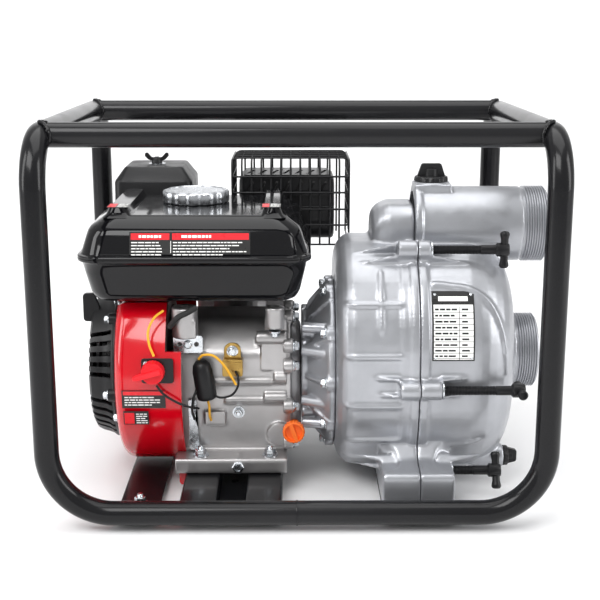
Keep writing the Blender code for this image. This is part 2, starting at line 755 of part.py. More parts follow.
def make_fan_cover():
    right = BLOCK_LEFT - GAP
    top = TANK_CLEAR_Z
    round_r = 14 * MM
    outer = [flat_topped(FAN_EYE_R, FAN_LEFT, top), flat_topped(FAN_R - round_r, FAN_LEFT, top)]
    inner = []
    for k in range(1, 4):
        turn = math.radians(30 * k)
        radius = FAN_R - round_r + round_r * math.sin(turn)
        x = FAN_LEFT + round_r - round_r * math.cos(turn)
        outer.append(flat_topped(radius, x, top))
    outer.append(flat_topped(FAN_R, right, top))
    inner.append(flat_topped(FAN_R - SHEET, right, top - SHEET))
    inner.append(flat_topped(FAN_R - SHEET, FAN_LEFT + round_r, top - SHEET))
    inner.append(flat_topped(FAN_R - round_r, FAN_LEFT + SHEET, top - SHEET))
    inner.append(flat_topped(FAN_EYE_R, FAN_LEFT + SHEET, top - SHEET))
    cover = piece("fan_cover", skin(outer + inner, loop=True), RED_PAINT)
    relief_left = TANK_BOSS_X[0] - TANK_BOSS_R - 7 * MM
    relief_back = TANK_BOSS_Y + 40 * MM
    low = (relief_left, relief_back - 80 * MM, 166 * MM)
    cut(cover, block(low, (right + THROUGH, relief_back, top + THROUGH)))


def make_starter_housing():
    base = FAN_LEFT - GAP
    waist = STARTER_WAIST
    floor = STARTER_LEFT + STARTER_WALL
    post_end = base - 5 * MM
    profile = [
        (0, STARTER_LEFT),
        (STARTER_NOSE_R, STARTER_LEFT),
        (STARTER_R, waist),
        (STARTER_R, base),
        (STARTER_R - STARTER_WALL, base),
        (STARTER_R - STARTER_WALL, waist),
        (STARTER_NOSE_R - STARTER_WALL, floor),
        (REEL_POST_R, floor),
        (REEL_POST_R, post_end),
        (0, post_end),
    ]
    housing = piece("starter_housing", turned(profile, CRANK, AXES[X], 32), BLACK_PLASTIC)
    slots = []
    for first in STARTER_SLOTS_FROM:
        for k in range(STARTER_SLOTS):
            turn = math.radians(first + STARTER_SLOT_STEP * k)
            slots.append(spoke(turn, 68 * MM, 99 * MM, 2.6 * MM, floor - 2.5 * MM, waist + 4 * MM))
    cut(housing, gathered(slots))


def make_starter():
    hole = bore_radius(REEL_POST_R, 24)
    groove = REEL_R - 8 * MM
    profile = [
        (hole, REEL_LEFT),
        (REEL_R, REEL_LEFT),
        (REEL_R, REEL_LEFT + 3 * MM),
        (groove, REEL_LEFT + 5 * MM),
        (groove, REEL_RIGHT - 5 * MM),
        (REEL_R, REEL_RIGHT - 3 * MM),
        (REEL_R, REEL_RIGHT),
        (hole, REEL_RIGHT),
    ]
    piece("starter_reel", turned(profile, CRANK, AXES[X], 24), BLACK_PLASTIC, CRANK)
    start = CRANK_Y + STARTER_R + 4 * MM
    outline = rounded(GRIP_LOW, GRIP_HIGH, 8 * MM, 3)
    grip = piece("starter_handle", prism(outline, Y, start, start + GRIP_THICK), BLACK_PLASTIC)
    x = (GRIP_LOW[0] + GRIP_HIGH[0]) / 2
    z = (GRIP_LOW[1] + GRIP_HIGH[1]) / 2
    fuse(grip, rod((x, start - 2 * MM, z), (x, start + 2 * MM, z), 6 * MM))


# ---------------------------------------------------------------- fuel tank


def tank_ring(inset, radius, level):
    low = (TANK_LEFT + inset, TANK_FRONT + inset)
    high = (TANK_RIGHT - inset, TANK_BACK - inset)
    return lifted(rounded(low, high, radius, 3), level)


def make_tank():
    lip = TANK_LIP
    low = TANK_LOW_Z
    seam = TANK_SEAM_Z
    lower = [
        tank_ring(20 * MM, 18 * MM, low),
        tank_ring(13 * MM, 24 * MM, low + 8 * MM),
        tank_ring(lip, 26 * MM, seam - 4 * MM),
        tank_ring(0, 28 * MM, seam - 3 * MM),
        tank_ring(0, 28 * MM, seam - GAP / 2),
        tank_ring(lip + SHEET, 24 * MM, seam - GAP / 2),
        tank_ring(13 * MM + SHEET, 22 * MM, low + 9 * MM),
        tank_ring(20 * MM + SHEET, 16 * MM, low + SHEET),
    ]
    piece("fuel_tank_lower", skin(lower), BLACK_PAINT)
    top = TANK_TOP_Z
    upper = [
        tank_ring(30 * MM, 20 * MM, top),
        tank_ring(15 * MM, 26 * MM, top - 11 * MM),
        tank_ring(lip, 26 * MM, seam + 4 * MM),
        tank_ring(0, 28 * MM, seam + 3 * MM),
        tank_ring(0, 28 * MM, seam + GAP / 2),
        tank_ring(lip + SHEET, 24 * MM, seam + GAP / 2),
        tank_ring(15 * MM + SHEET, 24 * MM, top - 12 * MM),
        tank_ring(30 * MM + SHEET, 18 * MM, top - SHEET),
    ]
    shell = piece("fuel_tank_upper", skin(upper), BLACK_PAINT)
    for start, end in ((TANK_LEFT + 31 * MM, -182 * MM), (-39 * MM, TANK_RIGHT - 31 * MM)):
        pad = rounded((start, TANK_FRONT + 31 * MM), (end, TANK_BACK - 31 * MM), 10 * MM)
        fuse(shell, prism(pad, Z, top - 1 * MM, top + TANK_SHOULDER))
    fuse(shell, rod((CAP_X, CAP_Y, top - 1 * MM), (CAP_X, CAP_Y, top + NECK_HEIGHT), NECK_R, 24))
    cut(shell, rod((CAP_X, CAP_Y, top - 10 * MM), (CAP_X, CAP_Y, top + 20 * MM), NECK_R - SHEET, 24))
    profile = [
        (0, CAP_HEIGHT),
        (CAP_R - 3 * MM, CAP_HEIGHT),
        (CAP_R, CAP_HEIGHT - 3 * MM),
        (CAP_R, 0),
        (NECK_R + 2 * MM, 0),
        (NECK_R + 2 * MM, NECK_HEIGHT),
        (0, NECK_HEIGHT),
    ]
    spot = Vector((CAP_X, CAP_Y, top + GAP))
    piece("fuel_cap", turned(profile, spot, AXES[Z], 36), CHROME, spot)


# ---------------------------------------------------------------- intake and exhaust


def make_lever(name, pivot, axis, reach, material):
    """A flat lever: a hub disc and an arm that ends in a round pad."""
    pivot = Vector(pivot)
    axis = Vector(axis)
    half = axis.cross(reach).normalized() * 3 * MM
    tip = Vector(reach)
    ring = []
    for depth in (0, 2.5 * MM):
        base = pivot + axis * depth
        ring.append([base - half, base + tip - half, base + tip + half, base + half])
    lever = piece(name, skin(ring), material, pivot)
    fuse(lever, rod(pivot, pivot + axis * 3 * MM, 6 * MM, 12))
    fuse(lever, rod(pivot + tip, pivot + tip + axis * 3 * MM, 4.5 * MM, 8))
    return lever


def make_carburettor():
    carb = piece("carburettor", block(CARB_LOW, CARB_HIGH), CAST_ALUMINIUM)
    reach = 2 * MM
    fuse(carb, rod((*CARB_MIDDLE, BOWL_LOW_Z), (*CARB_MIDDLE, CARB_LOW[Z] + reach), BOWL_R, 20))
    fuse(carb, rod((*CARB_MIDDLE, CARB_HIGH[Z] - reach), (*CARB_MIDDLE, FILTER_LOW_Z - GAP), 14 * MM, 20))
    port = Vector((CARB_HIGH[X], CARB_MIDDLE[Y], THROAT_Z))
    fuse(carb, rod(port - AXES[X] * reach, (BLOCK_LEFT + 3 * MM, port.y, port.z), 12 * MM))
    left = CARB_LOW[X] - GAP
    make_lever("choke_lever", (left, 122 * MM, 212 * MM), (-1, 0, 0), (0, 0, 18 * MM), BLACK_PLASTIC)
    make_lever("fuel_cock_lever", (left, 108 * MM, 196 * MM), (-1, 0, 0), (0, -20 * MM, 0), BLACK_PLASTIC)
    front = CARB_LOW[Y] - GAP
    make_lever("throttle_lever", (CARB_MIDDLE[X], front, 208 * MM), (0, -1, 0), (-24 * MM, 0, 0), ZINC)


def filter_ring(inset, radius, level):
    low = (FILTER_X - FILTER_HALF_X + inset, FILTER_Y - FILTER_HALF_Y + inset)
    high = (FILTER_X + FILTER_HALF_X - inset, FILTER_Y + FILTER_HALF_Y - inset)
    return lifted(rounded(low, high, radius), level)


def make_air_filter():
    rings = [filter_ring(5 * MM, 8 * MM, FILTER_LOW_Z), filter_ring(1 * MM, 8 * MM, FILTER_SPLIT_Z - GAP)]
    base = piece("air_filter_base", skin(rings), BLACK_PLASTIC)
    above = (*CARB_MIDDLE, FILTER_SPLIT_Z + THROUGH)
    cut(base, rod((*CARB_MIDDLE, FILTER_LOW_Z - THROUGH), above, 10 * MM, 20))
    wall = STARTER_WALL
    split = FILTER_SPLIT_Z
    top = FILTER_TOP_Z
    cover = [
        filter_ring(14 * MM, 6 * MM, top),
        filter_ring(1 * MM, 10 * MM, top - 17 * MM),
        filter_ring(0, 10 * MM, split),
        filter_ring(wall, 8 * MM, split),
        filter_ring(1 * MM + wall, 8 * MM, top - 18 * MM),
        filter_ring(14 * MM + wall, 4 * MM, top - wall),
    ]
    cover = piece("air_filter_cover", skin(cover), BLACK_PLASTIC)
    cut(cover, rod((FILTER_X, FILTER_Y, top - 10 * MM), (FILTER_X, FILTER_Y, top + 5 * MM), 3.6 * MM, 12))
    outer = 41 * MM
    inner = 27 * MM
    end = top - 22 * MM
    ring = [(inner, split + GAP), (outer, split + GAP), (outer, end), (inner, end)]
    piece("air_filter_element", turned(ring, (FILTER_X, FILTER_Y, 0), AXES[Z], 24), FOAM)
    spot = Vector((FILTER_X, FILTER_Y, top + GAP))
    tail = 3.2 * MM
    profile = [(0, -4 * MM), (tail, -4 * MM), (tail, 0), (8 * MM, 0), (6 * MM, 7 * MM), (0, 7 * MM)]
    nut = piece("air_filter_wing_nut", turned(profile, spot, AXES[Z], 12), ZINC, spot)
    for side in (-1, 1):
        wing = [(side * 3, 2), (side * 14, 8), (side * 15, 13), (side * 11, 13), (side * 3, 7)]
        outline = [(FILTER_X + a * MM, spot.z + b * MM) for a, b in wing]
        fuse(nut, prism(outline, Y, FILTER_Y - 1.2 * MM, FILTER_Y + 1.2 * MM))


def make_muffler():
    low = MUFFLER_LOW
    high = MUFFLER_HIGH
    outline = rounded((low[Y], low[Z]), (high[Y], high[Z]), 16 * MM, 3)
    muffler = piece("muffler", prism(outline, X, low[X], high[X]), BLACK_PAINT)
    wall = SHEET
    hollow = rounded((low[Y] + wall, low[Z] + wall), (high[Y] - wall, high[Z] - wall), 14 * MM, 3)
    cut(muffler, prism(hollow, X, low[X] + wall, high[X] - wall))
    inlet = (BLOCK_X + 30 * MM, MUFFLER_INLET_Y)
    fuse(muffler, rod((*inlet, MUFFLER_INLET_LOW_Z), (*inlet, low[Z] + 1 * MM), 14 * MM, 20))
    tail = Vector((high[X], TAILPIPE_Y, TAILPIPE_Z))
    cut(muffler, rod(tail - AXES[X] * 10 * MM, tail + AXES[X] * THROUGH, TAILPIPE_R))


def make_guard():
    """A cage of welded wire over the muffler, open below and behind."""
    counts = GUARD_CELLS
    low = Vector(GUARD_LOW)
    size = Vector(GUARD_HIGH) - low
    body = bmesh.new()

    def grid(first, second, fixed, level):
        for i in range(counts[first]):
            for j in range(counts[second]):
                corners = []
                for a, b in ((0, 0), (1, 0), (1, 1), (0, 1)):
                    spot = Vector((0, 0, 0))
                    spot[first] = low[first] + size[first] * (i + a) / counts[first]
                    spot[second] = low[second] + size[second] * (j + b) / counts[second]
                    spot[fixed] = level
                    corners.append(body.verts.new(spot))
                body.faces.new(corners)

    grid(X, Z, Y, low.y)
    grid(X, Y, Z, low.z + size.z)
    grid(Y, Z, X, low.x)
    grid(Y, Z, X, low.x + size.x)
    bmesh.ops.remove_doubles(body, verts=body.verts, dist=0.01 * MM)
    bmesh.ops.recalc_face_normals(body, faces=body.faces[:])
    guard = piece("muffler_guard", body, BLACK_PAINT)
    wires = guard.modifiers.new("wires", "WIREFRAME")
    wires.thickness = GUARD_WIRE
    wires.use_boundary = True
    wires.use_even_offset = True


# ---------------------------------------------------------------- controls and wiring


def make_switch():
    front = SWITCH_FACE_Y
    low = (SWITCH_X - 13 * MM, front, SWITCH_Z - 14 * MM)
    plate = block(low, (SWITCH_X + 22 * MM, front + 2.6 * MM, SWITCH_Z + 14 * MM))
    piece("engine_switch_plate", plate, BLACK_PLASTIC)
    spot = Vector((SWITCH_X, front - GAP, SWITCH_Z))
    profile = [(0, 0), (SWITCH_R, 0), (SWITCH_R, 8 * MM), (SWITCH_R - 2 * MM, 10 * MM), (0, 10 * MM)]
    knob = piece("engine_switch_knob", turned(profile, spot, (0, -1, 0), 24), RED_PLASTIC, spot)
    along = Vector((-0.96, 0, -0.28))
    side = Vector((0.28, 0, -0.96)) * 2.6 * MM
    ring = []
    for depth in (8.5 * MM, 14 * MM):
        base = spot + Vector((0, -depth, 0))
        far = base + along * 22 * MM
        near = base - along * 11 * MM
        ring.append([near - side, far - side, far + side, near + side])
    fuse(knob, skin(ring))


def make_dipstick():
    spot = Vector((DIPSTICK_X, -97 * MM - GAP, DIPSTICK_Z))
    profile = [
        (0, -20 * MM),
        (DIPSTICK_STEM_R, -20 * MM),
        (DIPSTICK_STEM_R, 0),
        (DIPSTICK_R, 0),
        (DIPSTICK_R, 8 * MM),
        (DIPSTICK_R - 2 * MM, 10 * MM),
        (0, 10 * MM),
    ]
    cap = piece("oil_dipstick", turned(profile, spot, (0, -1, 0), 24), ORANGE_PLASTIC, spot)
    half = (2.4 * MM, 11.5 * MM)
    low = (spot.x - half[0], spot.y - 15 * MM, spot.z - half[1])
    wing = block(low, (spot.x + half[0], spot.y - 9 * MM, spot.z + half[1]))
    fuse(cap, wing)


def make_governor_arm():
    back = BLOCK_FRONT_Y - 4 * MM
    pivot = Vector((GOVERNOR_X, back, GOVERNOR_Z))
    outline = [(-4, -5.5), (4, -5.5), (6, 0), (5, 20), (2, 30), (4, 54), (-6, 54), (-5, 28), (-6, 0)]
    outline = [(pivot.x + a * MM, pivot.z + b * MM) for a, b in outline]
    arm = piece("governor_arm", prism(outline, Y, back - 2.5 * MM, back), ZINC, pivot)
    fuse(arm, rod(pivot + AXES[Y] * -1 * MM, pivot + AXES[Y] * 10 * MM, GOVERNOR_PIN_R, 12))


def make_sensor():
    sleeve = rod((-101 * MM, -105 * MM, 104 * MM), (-108 * MM, -104 * MM, 149 * MM), 11.5 * MM, 20)
    piece("diode_sleeve", sleeve, BLACK_PLASTIC)
    back = BLOCK_FRONT_Y - GAP
    box = block((-84 * MM, back - 13 * MM, 130 * MM), (-61 * MM, back, 150 * MM))
    box = piece("oil_sensor_box", box, GOLD_ZINC)
    fuse(box, block((-82 * MM, back - 8 * MM, 149 * MM), (-63 * MM, back, 168 * MM)))


def route(points, per_span=4):
    """A smooth line through the points."""
    points = [Vector(point) * MM for point in points]
    ends = [points[0] * 2 - points[1], *points, points[-1] * 2 - points[-2]]
    line = []
    for i in range(len(points) - 1):
        before, start, stop, after = ends[i : i + 4]
        for k in range(per_span):
            t = k / per_span
            slope = (stop - before) * t
            bend = (before * 2 - start * 5 + stop * 4 - after) * t**2
            twist = (start * 3 - before - stop * 3 + after) * t**3
            line.append(start + (slope + bend + twist) / 2)
    return line + [points[-1]]


def make_wire(name, points, material):
    curve = bpy.data.curves.new(name, "CURVE")
    curve.dimensions = "3D"
    curve.bevel_depth = WIRE_R
    curve.bevel_resolution = 2
    curve.use_fill_caps = True
    line = route(points)
    spline = curve.splines.new("POLY")
    spline.points.add(len(line) - 1)
    for spot, place in zip(spline.points, line):
        spot.co = (*place, 1)
    curve.materials.append(material)
    wire = bpy.data.objects.new(name, curve)
    wire.parent = DATUM
    bpy.context.scene.collection.objects.link(wire)


def make_wiring():
    face = SWITCH_FACE_Y / MM
    live = [
        (-156, face + 1, 164.5),
        (-161, face + 3, 178),
        (-162, face + 8, 192),
        (-156, face + 16, 204),
        (-147, face + 24, 210),
    ]
    make_wire("wire_switch_live", live, YELLOW_WIRE)
    earth = [
        (-154, face - 1, 132),
        (-146, face - 2, 122),
        (-133, face - 1, 113),
        (-120, face + 6, 105),
        (-110, -119, 98),
    ]
    make_wire("wire_switch_earth", earth, BLACK_PLASTIC)
    sensor = [(-110, -107, 152), (-104, -112, 158), (-92, -116, 158), (-80, -117, 146), (-68, -114, 124)]
    make_wire("wire_sensor", sensor, YELLOW_WIRE)


# ---------------------------------------------------------------- pump


def pump_ring(x, inset):
    """A section of the pump body: a nearly round square."""
    low = (PUMP_Y - PUMP_HALF_Y + inset, PUMP_Z - PUMP_HALF_Z + inset)
    high = (PUMP_Y + PUMP_HALF_Y - inset, PUMP_Z + PUMP_HALF_Z - inset)
    outline = rounded(low, high, PUMP_CORNER - inset, 5)
    return [(x, point[0], point[1]) for point in outline]


def make_adaptor():
    start = ENGINE_RIGHT + GAP
    end = CASING_LEFT - GAP
    hole = SEAL_R + GAP
    profile = [
        (54 * MM, start),
        (62 * MM, start),
        (62 * MM, start + 7 * MM),
        (98 * MM, end - 6 * MM),
        (98 * MM, end),
        (hole, end),
        (hole, end - 6 * MM),
        (88 * MM, end - 6 * MM),
        (54 * MM, start + 9 * MM),
    ]
    bell = piece("pump_adaptor", turned(profile, CRANK, AXES[X], 24), SILVER_PAINT)
    for k in range(4):
        turn = math.radians(45 + 90 * k)
        out = Vector((0, math.cos(turn), math.sin(turn))) * 68 * MM
        near = CRANK + out + AXES[X] * (start + 1 * MM)
        fuse(bell, rod(near, CRANK + out + AXES[X] * (end - 3 * MM), 9 * MM, 8))


def clamp_spots():
    """Each clamp screw's name, centre in Y and Z, and where its boss and its rod end."""
    front = PUMP_Y - PUMP_HALF_Y - 8 * MM
    rear = PUMP_Y + PUMP_HALF_Y + 8 * MM
    return [
        ("clamp_screw_top", -95 * MM, 274 * MM, 148 * MM, 230 * MM, 0),
        ("clamp_screw_front", front, 131 * MM, 157 * MM, 242 * MM, 90),
        ("clamp_screw_low", -142 * MM, 33 * MM, FOOT_RIGHT_X, 222 * MM, 25),
        ("clamp_screw_rear", rear, 131 * MM, 157 * MM, 242 * MM, 90),
    ]


def foot_outline():
    end = PUMP_FOOT_Y
    low = STRIP_TOP + GAP
    points = [
        (-end, low),
        (-end, PUMP_FOOT_TOP),
        (-end + 58 * MM, 75 * MM),
        (end - 58 * MM, 75 * MM),
        (end, PUMP_FOOT_TOP),
        (end, low),
    ]
    return [(PUMP_Y + a, b) for a, b in points]


def notch(x, side):
    y = PUMP_Y + side * (PUMP_FOOT_Y - 30 * MM)
    return rod((x, y, PUMP_FOOT_TOP), (x, y, NOTCH_TOP), 20 * MM, 24)


def add_clamp_bosses(body, low_x, high_x):
    for name, y, z, boss_end, *_ in clamp_spots():
        if name == "clamp_screw_low":
            continue
        start = max(low_x, 112 * MM)
        end = min(high_x, boss_end)
        fuse(body, rod((start, y, z), (end, y, z), CLAMP_BOSS_R, 12))


def cut_clamp_holes(body):
    hole = bore_radius(CLAMP_ROD_R, 12)
    for _, y, z, *_ in clamp_spots():
        cut(body, rod((CLAMP_ROD_START - 2 * MM, y, z), (FOOT_RIGHT_X + 2 * THROUGH, y, z), hole, 12))


def make_casing():
    left = CASING_LEFT
    face = SPLIT_X - GAP / 2
    wall = PUMP_WALL
    rings = [
        pump_ring(left, 22 * MM),
        pump_ring(left + 6 * MM, 8 * MM),
        pump_ring(left + 18 * MM, 0),
        pump_ring(face - 10 * MM, 0),
        pump_ring(face - 9 * MM, -FLANGE),
        pump_ring(face, -FLANGE),
        pump_ring(face, wall),
        pump_ring(left + 20 * MM, wall),
        pump_ring(left + wall, 22 * MM + wall),
    ]
    casing = piece("pump_casing", skin(rings), SILVER_PAINT)
    foot = prism(foot_outline(), X, FOOT_LEFT_X, face)
    hump = [
        arch_ring(DUCT_START, 26 * MM, 0),
        arch_ring(DUCT_START + 8 * MM, 8 * MM, 0),
        arch_ring(DUCT_START + 20 * MM, 0, 0),
        arch_ring(face, 0, 0),
    ]
    fuse(casing, foot, skin(hump))
    add_clamp_bosses(casing, 0, face)
    hollow = [
        arch_ring(DUCT_START + wall, 26 * MM, wall),
        arch_ring(DUCT_START + 18 * MM, 4 * MM, wall),
        arch_ring(face + THROUGH, 0, wall),
    ]
    cut(casing, skin(hollow))
    inside = [pump_ring(left + 20 * MM, wall - 0.1 * MM), pump_ring(face + THROUGH, wall - 0.1 * MM)]
    cut(casing, skin(inside))
    for side in (-1, 1):
        cut(casing, notch(FOOT_LEFT_X, side))
    cut(casing, rod(CRANK + AXES[X] * (left - THROUGH), CRANK + AXES[X] * (left + 12 * MM), SEAL_R + GAP, 28))
    cut_clamp_holes(casing)


def arch_ring(x, inset, wall):
    """A section of the duct that carries the water up and over into the discharge pipe."""
    half = PORT_R - 2 * MM - wall
    low = (PORT_Y - half + inset * 0.4, DUCT_LOW_Z - wall)
    high = (PORT_Y + half - inset * 0.4, DUCT_TOP_Z - inset * 0.6 - wall)
    outline = rounded(low, high, DUCT_CORNER - wall, 4)
    return [(x, point[0], point[1]) for point in outline]


def make_cover():
    face = SPLIT_X + GAP / 2
    right = COVER_RIGHT
    wall = PUMP_WALL
    rings = [
        pump_ring(right, 48 * MM),
        pump_ring(right - 5 * MM, 30 * MM),
        pump_ring(right - 16 * MM, 14 * MM),
        pump_ring(right - 34 * MM, 4 * MM),
        pump_ring(right - 52 * MM, 0),
        pump_ring(face + 10 * MM, 0),
        pump_ring(face + 9 * MM, -FLANGE),
        pump_ring(face, -FLANGE),
        pump_ring(face, wall),
        pump_ring(right - 54 * MM, wall),
        pump_ring(right - 36 * MM, wall + 4 * MM),
        pump_ring(right - 20 * MM, wall + 14 * MM),
        pump_ring(right - 12 * MM, 30 * MM + wall),
    ]
    cover = piece("pump_cover", skin(rings), SILVER_PAINT)
    fuse(cover, prism(foot_outline(), X, face, FOOT_RIGHT_X))
    drain = Vector((DRAIN_BOSS_END, DRAIN_Y, DRAIN_Z))
    fuse(cover, rod(drain - AXES[X] * 40 * MM, drain, 13 * MM, 16))
    add_clamp_bosses(cover, face, 1)
    inside = [
        pump_ring(face - THROUGH, wall + 0.1 * MM),
        pump_ring(right - 54 * MM, wall + 0.1 * MM),
        pump_ring(right - 36 * MM, wall + 4.1 * MM),
        pump_ring(right - 22 * MM, wall + 14 * MM),
    ]
    cut(cover, skin(inside))
    outlet = Vector((OUTLET_END, PORT_Y, OUTLET_Z))
    inlet = Vector((INLET_END, PORT_Y, INLET_Z))
    filler = Vector((PRIMING_X, PORT_Y, PRIMING_TOP_Z))
    fuse(cover, rod((face + 0.5 * MM, outlet.y, outlet.z), outlet, PORT_R, 26))
    fuse(cover, rod((right - 16 * MM, inlet.y, inlet.z), inlet, PORT_R, 26))
    fuse(cover, rod((filler.x, filler.y, OUTLET_Z + 35 * MM), filler, PRIMING_BOSS_R, 20))
    cut(cover, rod((face - THROUGH, outlet.y, outlet.z), outlet + AXES[X] * THROUGH, PORT_BORE_R, 22))
    cut(cover, rod((right - 30 * MM, inlet.y, inlet.z), inlet + AXES[X] * THROUGH, PORT_BORE_R, 22))
    stem = bore_radius(PLUG_STEM_R, 20)
    cut(cover, rod((filler.x, filler.y, OUTLET_Z), filler + AXES[Z] * THROUGH, stem, 20))
    cut(cover, rod(drain - AXES[X] * 50 * MM, drain + AXES[X] * THROUGH, bore_radius(DRAIN_STEM_R, 16), 16))
    for side in (-1, 1):
        cut(cover, notch(FOOT_RIGHT_X, side))
    cut_clamp_holes(cover)


def make_clamp_screws():
    for name, y, z, boss_end, rod_end, turn in clamp_spots():
        spot = Vector((boss_end, y, z))
        bar = rod((CLAMP_ROD_START, y, z), (rod_end, y, z), CLAMP_ROD_R)
        screw = piece(name, bar, BLACK_PAINT, spot)
        angle = math.radians(turn)
        half = Vector((0, math.sin(angle), math.cos(angle))) * CLAMP_BAR_HALF
        end = Vector((rod_end, y, z))
        fuse(screw, rod(end - half, end + half, CLAMP_BAR_R))


def make_plug(name, spot, direction, wing, stem_r, flange_r, height, stem):
    """A screwed plug with a flat wing to turn it by."""
    spot = Vector(spot)
    direction = Vector(direction)
    profile = [(0, -stem), (stem_r, -stem), (stem_r, 0), (flange_r, 0), (flange_r, 4 * MM), (0, 4 * MM)]
    plug = piece(name, turned(profile, spot, direction, 20), BLACK_PLASTIC, spot)
    side = direction.cross(wing).normalized() * 2.5 * MM
    reach = Vector(wing) * flange_r * 0.85
    low = spot + direction * 3 * MM
    high = spot + direction * height
    outline = [low - reach, low + reach, high + reach * 0.6, high - reach * 0.6]
    fuse(plug, skin([[corner + offset for corner in outline] for offset in (-side, side)]))


def make_plugs():
    top = (PRIMING_X, PORT_Y, PRIMING_TOP_Z + GAP)
    rim = PRIMING_BOSS_R - 0.5 * MM
    make_plug("priming_plug", top, AXES[Z], (1, 0, 0), PLUG_STEM_R, rim, 20 * MM, 12 * MM)
    end = (DRAIN_BOSS_END + GAP, DRAIN_Y, DRAIN_Z)
    make_plug("drain_plug", end, AXES[X], (0, 0, 1), DRAIN_STEM_R, 12 * MM, 16 * MM, 18 * MM)


def make_pump_inside():
    left = CASING_LEFT
    shaft = bore_radius(JOURNAL_R, SHAFT_SIDES)
    seal = [(shaft, left - 5 * MM), (SEAL_R, left - 5 * MM), (SEAL_R, left + 7 * MM), (shaft, left + 7 * MM)]
    piece("mechanical_seal", turned(seal, CRANK, AXES[X], SHAFT_SIDES), RUBBER)
    back = left + 9 * MM
    hub = SHAFT_END_X + 7 * MM
    profile = [
        (shaft, back),
        (IMPELLER_R, back),
        (IMPELLER_R, back + 4 * MM),
        (20 * MM, back + 5 * MM),
        (18 * MM, hub),
        (0, hub),
        (0, SHAFT_END_X + 1 * MM),
        (shaft, SHAFT_END_X + 1 * MM),
    ]
    impeller = impeller_disc(profile)
    for k in range(VANES):
        fuse(impeller, vane(2 * math.pi * k / VANES, back + 3 * MM, back + 26 * MM))
    eye = 37 * MM
    outer = 104 * MM
    front = back + 40 * MM
    start = left + 7 * MM
    ring = [
        (outer, start + 14 * MM),
        (outer, front),
        (eye, front),
        (eye, front - 4 * MM),
        (outer - 4 * MM, front - 4 * MM),
        (outer - 4 * MM, start + 14 * MM),
    ]
    volute = piece("volute", turned(ring, CRANK, AXES[X], 24), CAST_ALUMINIUM)
    top = CRANK_Z + outer
    low = (start, CRANK_Y - 22 * MM, top - 20 * MM)
    cut(volute, block(low, (front - 6 * MM, CRANK_Y + 22 * MM, top + THROUGH)))
    gasket = [pump_ring(x, inset) for x, inset in gasket_section()]
    piece("cover_gasket", skin(gasket, loop=True), RUBBER)


def gasket_section():
    outer = PUMP_WALL + GAP
    inner = outer + 4 * MM
    start = SPLIT_X - 3.5 * MM
    return [(start, outer), (SPLIT_X, outer), (SPLIT_X, inner), (start, inner)]


def impeller_disc(profile):
    """The impeller's disc and hub, with a blind hole for the end of the shaft."""
    outside = [(0, profile[0][1])] + profile[1:6]
    impeller = piece("impeller", turned(outside, CRANK, AXES[X], 24), CAST_ALUMINIUM, CRANK)
    start = profile[0][1] - THROUGH
    cut(impeller, rod(CRANK + AXES[X] * start, CRANK + AXES[X] * profile[6][1], profile[0][0], SHAFT_SIDES))
    return impeller


def vane(turn, low_x, high_x):
    """A backward-curved vane, from the hub to near the rim."""
    steps = 5
    near = []
    far = []
    for k in range(steps + 1):
        radius = 17 * MM + (IMPELLER_R - 19 * MM) * k / steps
        angle = turn - 1.1 * k / steps
        for side, points in ((-1, near), (1, far)):
            wide = angle + side * 2 * MM / radius
            points.append((CRANK_Y + radius * math.cos(wide), CRANK_Z + radius * math.sin(wide)))
    return prism(near + far[::-1], X, low_x, high_x)


def make_flap():
    """The suction check valve: a rubber flap that hangs over the inlet and swings inwards."""
    seat = COVER_RIGHT - 16 * MM - GAP
    centre = Vector((0, PORT_Y, INLET_Z))
    body = rod(centre + AXES[X] * (seat - 5 * MM), centre + AXES[X] * seat, PORT_R - 1 * MM, 28)
    hinge = Vector((seat - 2.5 * MM, PORT_Y, INLET_Z + PORT_R + 4 * MM))
    flap = piece("check_valve_flap", body, RUBBER, hinge)
    fuse(flap, block((seat - 5 * MM, PORT_Y - 15 * MM, INLET_Z + 30 * MM), (seat, PORT_Y + 15 * MM, hinge.z)))
    fuse(flap, rod(hinge + AXES[Y] * -15 * MM, hinge + AXES[Y] * 15 * MM, 2.4 * MM, 12))


make_hoop("frame_hoop_left", -1)
make_hoop("frame_hoop_right", 1)
make_top_rail("frame_top_rail_front", -1)
make_top_rail("frame_top_rail_rear", 1)
make_base()
make_feet()
make_crankcase()
make_side_cover()
make_head()
make_plug_cap()
make_crankshaft()
make_camshaft()
make_piston()
make_flywheel()
make_fan_cover()
make_starter_housing()
make_starter()
make_tank()
make_carburettor()
make_air_filter()
make_muffler()
make_guard()
make_switch()
make_dipstick()
make_governor_arm()
make_sensor()
make_wiring()
make_adaptor()
make_casing()
make_cover()
make_clamp_screws()
make_plugs()
make_pump_inside()
make_flap()
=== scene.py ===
"""Looks for the portable petrol water pump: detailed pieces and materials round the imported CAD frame.

Lengths are millimetres from the middle of the tube frame, with Z = 0 at the underside of its bottom rails,
and piece() turns them into the row frame's metres. The operator's side faces -Y and the ports point to +X.
"""

import json
import math
import random

import bmesh
import bpy
from mathutils import Matrix, Vector


